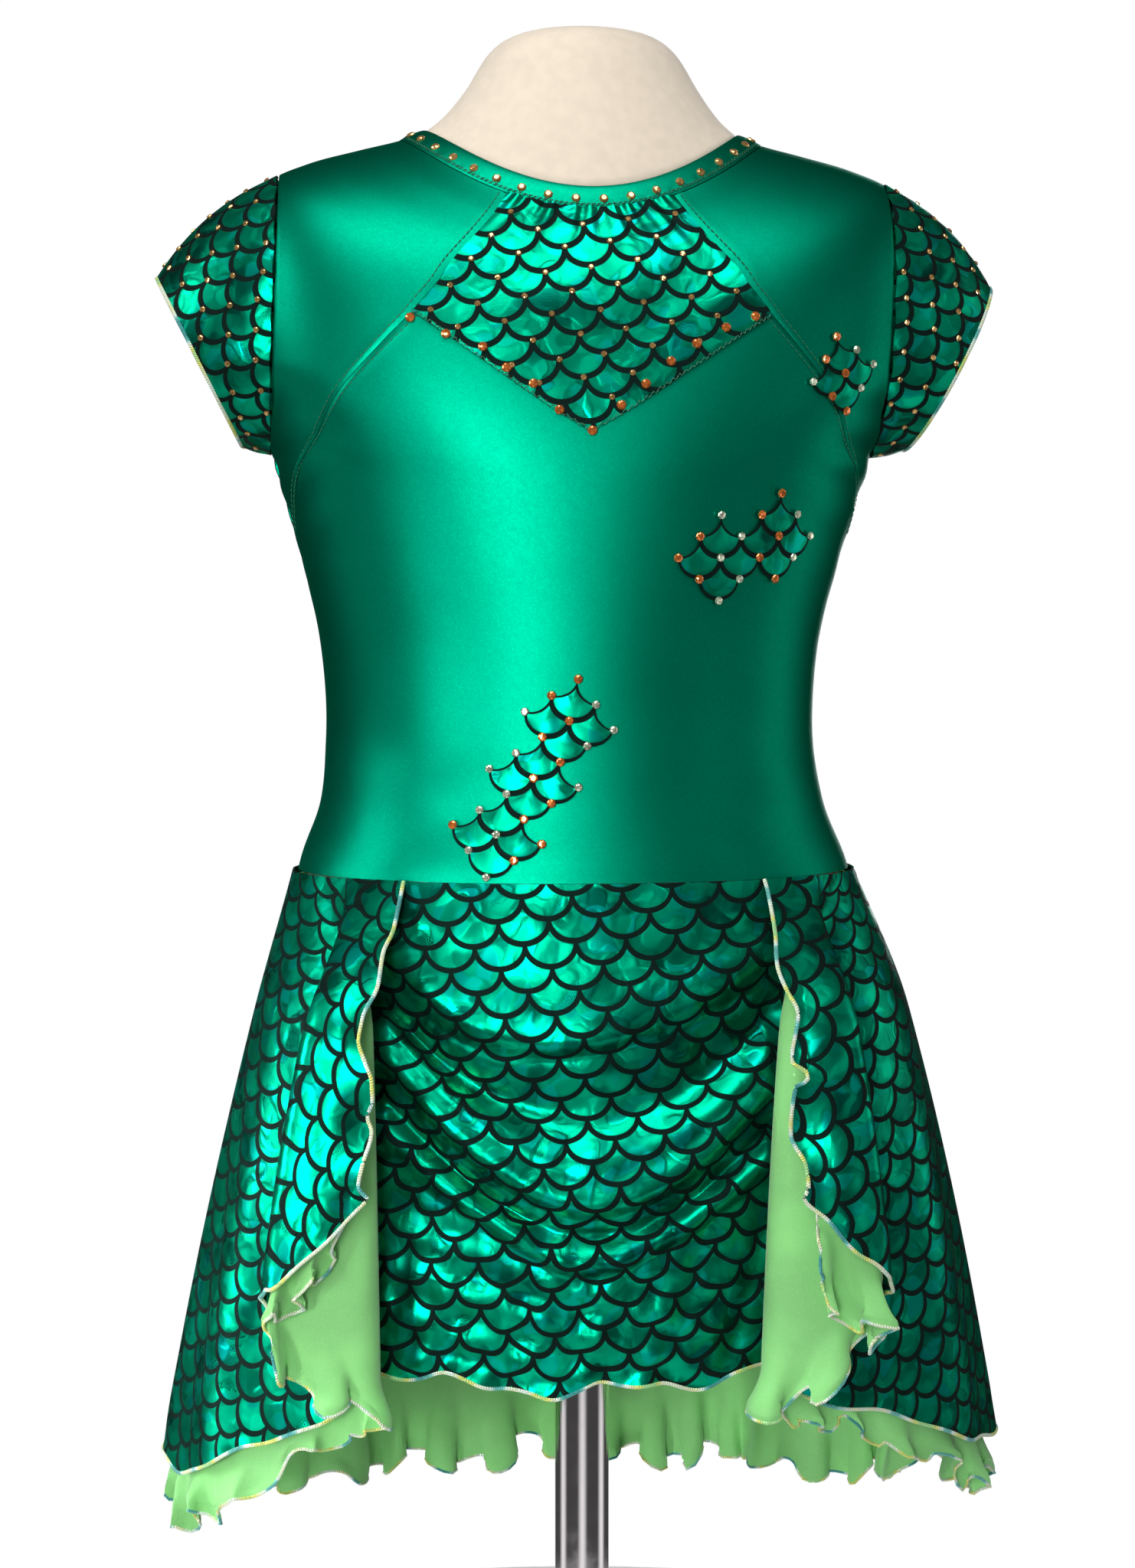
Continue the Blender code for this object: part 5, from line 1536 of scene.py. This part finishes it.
def build_stones(inset, sleeves, joints_of):
    """Stones round the binding, on the inset, the sleeves and the patches."""
    dense = np.linspace(0, 2 * math.pi, RING_SAMPLES)
    run = lengths(body_point(dense, np.full(dense.shape, BINDING_STONE_ROW)), 0)
    wanted = (np.arange(BINDING_STONES) + BINDING_STONE_START) * run[-1] / BINDING_STONES
    turn = np.interp(wanted, run, dense)
    band = on_body(turn, np.full(BINDING_STONES, BINDING_STONE_ROW), BINDING_FACE)
    cut_stones("stones_binding", *band, size_of("binding_stone"), finish_of("gold"))

    turn, row = np.array(V_STONES).T
    edge = on_body(np.radians(turn), row, LAID_OUT)
    cut_stones("stones_v_edge", *edge, size_of("edge_stone"), finish_of("amber"))

    points, normals, uv = inset
    found = [lattice_places(points + normals * LAID_OUT, normals, uv, INSET_FREE, INSET_MARGIN)]
    found += [lattice_places(*sleeve, SLEEVE_FREE, SLEEVE_MARGIN) for sleeve in sleeves.values()]
    small = [np.concatenate(part) for part in zip(*found)]
    cut_stones("stones_small", *small, size_of("small_stone"), finish_of("gold"))

    amber, clear = [], []
    for joints, turn, row in joints_of.values():
        for k, (right, down) in enumerate(joints):
            (amber if (right + 2 * down) % 4 in (0, 1) else clear).append((turn[k], row[k]))
    amber, clear = (on_body(*np.array(places).T, LAID_OUT) for places in (amber, clear))
    cut_stones("stones_patch_amber", *amber, size_of("patch_stone"), finish_of("amber"))
    cut_stones("stones_patch_clear", *clear, size_of("clear_stone"), finish_of("crystal"))


def stitch_row(places, normals, length, gap, radius):
    """Stitches along a path on the cloth: short rounded bars, each from a place along its run to a
    little further on, with its two ends sunk."""
    run = lengths(places, 0)
    count = int(run[-1] / (length + gap))
    at = np.arange(count)[:, None] * (length + gap) + STITCH_PLACES * length
    centre = np.stack([np.interp(at, run, places[:, k]) for k in range(3)], -1)
    out = unit(np.stack([np.interp(at, run, normals[:, k]) for k in range(3)], -1))
    centre = centre + out * (STITCH_LIFTS * radius)[None, :, None]
    side = unit(np.cross(unit(np.gradient(centre, axis=1)), out))
    angle = circle(STITCH_SIDES)[:, None]
    ring = (
        centre[:, :, None]
        + side[:, :, None] * (np.cos(angle) * radius)
        + out[:, :, None] * (np.sin(angle) * radius)
    )
    points = ring.reshape(-1, 3)
    quads = sheet_quads(len(STITCH_PLACES), STITCH_SIDES, closed=True)
    starts = np.arange(count) * len(STITCH_PLACES) * STITCH_SIDES
    quads = (quads[None] + starts[:, None, None]).reshape(-1, 4)
    return points, quads, np.zeros((len(points), 2))


def build_stitches():
    """Topstitching beside the curved seams, round the binding and in a zigzag along the V edge."""
    rows = np.linspace(*SEAM_STITCH_ROWS, SEAM_SAMPLES)
    radius = np.linalg.norm(body_point(seam_turn(rows), rows)[:, :2], axis=-1)
    parts = []
    for side in (-1, 1):
        for away in (SEAM_STITCH_AWAY, -SEAM_STITCH_AWAY):
            turn = side * (seam_turn(rows) + away / radius)
            parts.append(stitch_row(*on_body(turn, rows, PANEL_OUT + STITCH_PROUD), *SEAM_STITCH))
    turn = np.linspace(-BINDING_STITCH_TURN, BINDING_STITCH_TURN, BINDING_SAMPLES)
    for row in BINDING_STITCH_ROWS:
        path = on_body(turn, np.full(BINDING_SAMPLES, row), BINDING_FACE)
        parts.append(stitch_row(*path, *BINDING_STITCH))
    across = np.linspace(-1, 1, V_SAMPLES)
    low = inset_foot(across)
    swing = np.abs((np.arange(V_SAMPLES) / V_SAMPLES * ZIGZAGS) % 1 * 2 - 1)
    row = low - swing * ZIGZAG_ROWS + ZIGZAG_BELOW
    path = on_body(inset_turn(across, low), row, LAID_OUT + V_STITCH_PROUD)
    parts.append(stitch_row(*path, *V_STITCH))
    joined("stitches", parts, finish_of("stitch"))


# Form, stand and stage

# Form: its grid, how far it lies under the dress at the top and how much further below the waist
FORM_COLUMNS, NECK_ROWS, TRUNK_ROWS = 128, 30, 110
FORM_IN, FORM_LOW_IN = 0.0018, 0.0022
NECK_SHORT = 0.05  # rows by which the neck's grid stops above the trunk's
ARM_END_IN, ARM_END_ABOVE = 0.0030, 0.74  # the flat arm ends behind the sleeves' plane, above this height
CAP_RINGS = (0.02, 0.6)  # reach of the rings that close its top and its underside

# Stand: a profile starts a little off the axis, so that no face shrinks to a line
AXIS = 0.0005
TURN_SIDES = 96
RIM_ROUND = 0.004
RIM_STEPS = 9
BASE_RADIUS, BASE_TOP, BASE_FOOT_EDGE, BASE_SEAT = 0.150, 0.014, 0.0005, 0.06
COLLAR_RADIUS, COLLAR_BORE, COLLAR_FOOT, COLLAR_TOP = 0.026, 0.014, 0.0143, 0.0303
POLE_RADIUS, POLE_FOOT, POLE_TOP = 0.0135, 0.0306, 0.4247

# Floor: radius and height of each ring
FLOOR_RINGS = ((0.001, -0.0005), (0.2, -0.0005), (0.55, -0.0005), (0.55, -0.012))

# Panel lights: place, target, width and height, power, and the cone in degrees
LIGHTS = {
    "key_panel": ((-0.45, -1.95, 0.68), (0, 0, 0.65), (0.24, 0.96), 22.0, 180),
    "upper_key_panel": ((-0.45, -1.95, 1.42), (0, 0, 0.65), (0.24, 0.5), 5.5, 180),
    "fill_panel": ((1.6, -1.3, 0.9), (0, 0, 0.55), (0.7, 1.2), 1.6, 180),
    "top_panel": ((-0.2, -0.9, 2.2), (0, 0, 0.7), (1.4, 0.8), 23.0, 180),
    "left_panel": ((-1.6, -0.3, 1.35), (0, 0, 0.8), (0.4, 0.7), 8.0, 180),
    "right_panel": ((1.7, 0.1, 0.9), (0, 0, 0.5), (0.8, 1.4), 3.5, 180),
    "skirt_panel": ((-0.80, -0.90, 0.42), (-0.17, -0.08, 0.38), (0.14, 0.5), 0.35, 30),
    "hip_panel": ((-1.30, -0.16, 0.57), (-0.20, -0.08, 0.356), (0.3, 0.3), 0.28, 16),
    "back_panel": ((0.75, 1.9, 1.1), (0, 0, 0.6), (0.4, 1.4), 14.0, 180),
}
# Studio world: bright upright bands that show only below, as stripes in the chrome
BANDS_ROUND, BANDS_START, BANDS_POWER = 4.0, 1.4, 1.6
BANDS_FROM, BANDS_TO = -0.32, -0.16  # downward part of a direction between which the bands fade
BANDS_LOW, BANDS_HIGH, STUDIO_LEVEL = 0.9, 0.08, 0.06

# Photograph: its size in pixels, the form's axis, and the metres to a pixel at the axis
PHOTO_SIZE = (1482, 2048)
AXIS_PIXEL = 760
METRES_TO_PIXEL = 0.00038
CAMERA_AZIMUTH, CAMERA_DISTANCE, CAMERA_HEIGHT = -4.5, 1.3, 0.655
VIEW_HEIGHT = 0.589  # height at the axis that shows in the middle of the picture
SENSOR = 36


def build_form():
    """The covered form: the body surface drawn in, with flat arm ends, neck and closed hips."""
    turn = circle(FORM_COLUMNS)
    neck = np.meshgrid(turn, np.linspace(0, len(NECK) - NECK_SHORT, NECK_ROWS))
    upper = body_point(*neck, rings={**NECK, "neck_edge": BODY["neck_edge"]})
    trunk = np.meshgrid(turn, np.linspace(0, ROW["form_bottom"], TRUNK_ROWS))
    inward = FORM_IN + FORM_LOW_IN * np.clip(trunk[1] - ROW["waist"], 0, 2) / 2
    lower = body_point(*trunk) - body_normal(*trunk) * inward[..., None]
    lower[-1, :, 2] = FORM_BOTTOM
    points = np.concatenate([upper, lower])
    centre_x = body_column("centre_x", ROW["arm_middle"])
    limit = ARM_PLANE - ARM_END_IN
    clipped = np.clip(points[..., 0] - centre_x, -limit, limit) + centre_x
    points[..., 0] = np.where(points[..., 2] > ARM_END_ABOVE, clipped, points[..., 0])
    top, foot = (row.mean(1, keepdims=True) for row in (points[:1], points[-1:]))
    grid = np.concatenate([
        *(top + (points[:1] - top) * reach for reach in CAP_RINGS), points,
        *(foot + (points[-1:] - foot) * reach for reach in CAP_RINGS[::-1]),
    ])
    quads = sheet_quads(len(grid), FORM_COLUMNS, closed=True)
    uv = np.zeros((grid[..., 0].size, 2))
    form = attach(add_mesh("form_cover", grid.reshape(-1, 3), quads, finish_of("form"), uv), "root")
    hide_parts("form")


def turned(name, profile, finish):
    """A surface turned about the upright axis: a profile's radius and height at places round it."""
    radius, height = np.array(profile).T[..., None]
    angle = circle(TURN_SIDES)
    points = np.stack(np.broadcast_arrays(radius * np.cos(angle), radius * np.sin(angle), height), -1)
    quads = sheet_quads(len(profile), TURN_SIDES, closed=True)
    return add_mesh(name, points.reshape(-1, 3), quads, finish, np.zeros((points[..., 0].size, 2)))


def stand_piece(name, node, profile):
    """One turned chrome piece of the stand."""
    obj = turned(name, profile, finish_of("chrome"))
    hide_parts(node)
    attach(obj, "root")


def rounded_rim(radius, top):
    """Quarter circle from a top face over to an outer side."""
    arc = np.linspace(0, math.pi / 2, RIM_STEPS)
    return [
        (radius - RIM_ROUND + RIM_ROUND * math.sin(a), top - RIM_ROUND + RIM_ROUND * math.cos(a))
        for a in arc
    ]


def build_stand():
    """Pole, collar and round base with rounded edges."""
    stand_piece("base_plate", "stand_base", [
        (AXIS, BASE_TOP), (BASE_SEAT, BASE_TOP), *rounded_rim(BASE_RADIUS, BASE_TOP),
        (BASE_RADIUS, BASE_FOOT_EDGE), (BASE_RADIUS - BASE_FOOT_EDGE, 0.0), (AXIS, 0.0),
    ])
    stand_piece("collar_ring", "stand_collar", [
        (COLLAR_BORE, COLLAR_TOP), *rounded_rim(COLLAR_RADIUS, COLLAR_TOP),
        (COLLAR_RADIUS, COLLAR_FOOT), (COLLAR_BORE, COLLAR_FOOT),
    ])
    stand_piece("pole_tube", "stand_pole", [
        (AXIS, POLE_TOP), (POLE_RADIUS, POLE_TOP), (POLE_RADIUS, POLE_FOOT), (AXIS, POLE_FOOT),
    ])


def area_light(name, place, target, size, power, degrees):
    """A soft panel light aimed at a point, shining into a cone of some degrees."""
    data = bpy.data.lights.new(name, "AREA")
    data.shape = "RECTANGLE"
    data.size, data.size_y = size
    data.energy = power
    data.spread = math.radians(degrees)
    obj = bpy.data.objects.new(name, data)
    obj.location = place
    obj.rotation_euler = (Vector(target) - Vector(place)).to_track_quat("-Z", "Y").to_euler()
    bpy.context.scene.collection.objects.link(obj)
    return obj


def build_world():
    """A pale studio for the camera, and for the foil and chrome a dim one with bright bands below: the
    positive part of a sine of the azimuth, raised to a power."""
    world = bpy.data.worlds.new("studio")
    n = Nodes(world)
    side = n.add("ShaderNodeSeparateXYZ", {0: n.add("ShaderNodeTexCoord").outputs["Generated"]})
    around = n.math("ARCTAN2", side.outputs[0], side.outputs[1])
    bands = n.math("SINE", n.math("MULTIPLY_ADD", around, BANDS_ROUND, BANDS_START))
    bands = n.math("POWER", n.math("MAXIMUM", bands, 0.0), BANDS_POWER)
    reach = n.remap(side.outputs[2], BANDS_FROM, BANDS_TO, BANDS_LOW, BANDS_HIGH)
    studio = n.math("MULTIPLY_ADD", bands, reach, STUDIO_LEVEL)
    seen = n.add("ShaderNodeLightPath").outputs["Is Camera Ray"]
    strength = n.add("ShaderNodeMix", {0: seen, 2: studio, 3: 1.0}, data_type="FLOAT").outputs[0]
    background = n.tree.nodes["Background"]
    n.set(background.inputs[0], (1, 1, 1, 1))
    n.set(background.inputs[1], strength)
    bpy.context.scene.world = world


def build_camera():
    """The camera at the photograph's place, aimed a little down and past the form's axis."""
    azimuth = math.radians(CAMERA_AZIMUTH)
    right = Vector((math.cos(azimuth), math.sin(azimuth), 0))
    away = Vector((math.sin(azimuth), -math.cos(azimuth), 0))
    target = Vector((0, 0, VIEW_HEIGHT)) + right * (PHOTO_SIZE[0] / 2 - AXIS_PIXEL) * METRES_TO_PIXEL
    place = target + away * CAMERA_DISTANCE
    place.z = CAMERA_HEIGHT
    data = bpy.data.cameras.new("photo_view")
    data.sensor_fit = "VERTICAL"
    data.sensor_height = SENSOR
    data.lens = (target - place).length / METRES_TO_PIXEL / PHOTO_SIZE[1] * SENSOR
    camera = bpy.data.objects.new("photo_view", data)
    camera.location = place
    camera.rotation_euler = (target - place).to_track_quat("-Z", "Y").to_euler()
    bpy.context.scene.collection.objects.link(camera)
    bpy.context.scene.camera = camera


def build_stage():
    """Pale round floor, soft lights, world and camera."""
    turned("round_floor", FLOOR_RINGS, floor_paper())
    strength = bpy.context.scene.dress_look.light
    for name, (place, target, size, power, degrees) in LIGHTS.items():
        area_light(name, place, target, size, power * strength, degrees)
    build_world()
    bpy.context.scene.view_settings.view_transform = "Standard"
    build_camera()


# Add-on


class DressSizes(bpy.types.PropertyGroup):
    """Sizes of the trim that a user would change."""

    binding_stone: bpy.props.FloatProperty(
        name="Binding stones", description="Radius of the stones round the neck binding",
        default=0.00225, min=0.0005, max=0.004, precision=5, unit="LENGTH",
    )
    edge_stone: bpy.props.FloatProperty(
        name="V edge stones", description="Radius of the stones along the inset's V edge",
        default=0.00235, min=0.0005, max=0.004, precision=5, unit="LENGTH",
    )
    small_stone: bpy.props.FloatProperty(
        name="Small stones", description="Radius of the stones on the inset's and sleeves' print",
        default=0.0015, min=0.0005, max=0.004, precision=5, unit="LENGTH",
    )
    patch_stone: bpy.props.FloatProperty(
        name="Amber patch stones", description="Radius of the amber stones on the patches",
        default=0.0022, min=0.0005, max=0.004, precision=5, unit="LENGTH",
    )
    clear_stone: bpy.props.FloatProperty(
        name="Clear patch stones", description="Radius of the clear stones on the patches",
        default=0.0020, min=0.0005, max=0.004, precision=5, unit="LENGTH",
    )
    ruffle_height: bpy.props.FloatProperty(
        name="Ruffles", description="How far the lime layer's ruffles stand out",
        default=0.0074, min=0.0, max=0.02, precision=5, unit="LENGTH",
    )


class DressLook(bpy.types.PropertyGroup):
    """Colours and light that a user would change."""

    foil_color: bpy.props.FloatVectorProperty(
        name="Scale print", description="Colour of the foil under the scale print",
        default=(0.0, 0.32, 0.17), subtype="COLOR", min=0, max=1,
    )
    knit_color: bpy.props.FloatVectorProperty(
        name="Foil knit", description="Colour of the plain foil knit",
        default=(0.0, 0.25, 0.14), subtype="COLOR", min=0, max=1,
    )
    lime_color: bpy.props.FloatVectorProperty(
        name="Lime mesh", description="Colour of the soft layer inside the skirt",
        default=(0.27, 0.70, 0.23), subtype="COLOR", min=0, max=1,
    )
    form_color: bpy.props.FloatVectorProperty(
        name="Form cover", description="Colour of the form's cloth cover",
        default=(0.62, 0.535, 0.43), subtype="COLOR", min=0, max=1,
    )
    light: bpy.props.FloatProperty(
        name="Light", description="Strength of all the panel lights", default=1.0, min=0.1, max=5,
    )


class DRESS_OT_bodice(bpy.types.Operator):
    """Build the bodice's panels, the neck binding and the stitches"""

    bl_idname = "dress.bodice"
    bl_label = "Bodice"

    def execute(self, context):
        build_panels()
        build_binding()
        build_stitches()
        return {"FINISHED"}


class DRESS_OT_trim(bpy.types.Operator):
    """Build the scale-print inset, sleeves and patches with their stones"""

    bl_idname = "dress.trim"
    bl_label = "Inset, sleeves, patches and stones"

    def execute(self, context):
        build_stones(build_inset(), build_sleeves(), build_patches())
        return {"FINISHED"}


class DRESS_OT_skirts(bpy.types.Operator):
    """Build the front skirt, the open outer skirt and the lime layer with their edge threads"""

    bl_idname = "dress.skirts"
    bl_label = "Skirts"

    def execute(self, context):
        build_apron()
        build_overskirt()
        build_underskirt()
        return {"FINISHED"}


class DRESS_OT_form(bpy.types.Operator):
    """Build the covered form and its stand"""

    bl_idname = "dress.form"
    bl_label = "Form and stand"

    def execute(self, context):
        build_form()
        build_stand()
        return {"FINISHED"}


class DRESS_OT_stage(bpy.types.Operator):
    """Set up the round floor, the lights, the world and the camera"""

    bl_idname = "dress.stage"
    bl_label = "Stage"

    def execute(self, context):
        build_stage()
        return {"FINISHED"}


class DRESS_PT_panel(bpy.types.Panel):
    """The dress's settings and steps"""

    bl_idname = "DRESS_PT_panel"
    bl_label = "Dress"
    bl_space_type = "VIEW_3D"
    bl_region_type = "UI"
    bl_category = "Dress"

    def draw(self, context):
        scene = context.scene
        for kind, settings in ((DressSizes, scene.dress_sizes), (DressLook, scene.dress_look)):
            for name in kind.__annotations__:
                self.layout.prop(settings, name)
        for name in STEPS:
            self.layout.operator(f"dress.{name}")


STEPS = ("form", "bodice", "trim", "skirts", "stage")
CLASSES = (
    DressSizes, DressLook, DRESS_OT_form, DRESS_OT_bodice, DRESS_OT_trim, DRESS_OT_skirts,
    DRESS_OT_stage, DRESS_PT_panel,
)


def register():
    for cls in CLASSES:
        bpy.utils.register_class(cls)
    bpy.types.Scene.dress_sizes = bpy.props.PointerProperty(type=DressSizes)
    bpy.types.Scene.dress_look = bpy.props.PointerProperty(type=DressLook)


def unregister():
    del bpy.types.Scene.dress_look
    del bpy.types.Scene.dress_sizes
    for cls in reversed(CLASSES):
        bpy.utils.unregister_class(cls)


def main():
    register()
    for name in STEPS:
        getattr(bpy.ops.dress, name)()


if __name__ == "__main__":
    main()
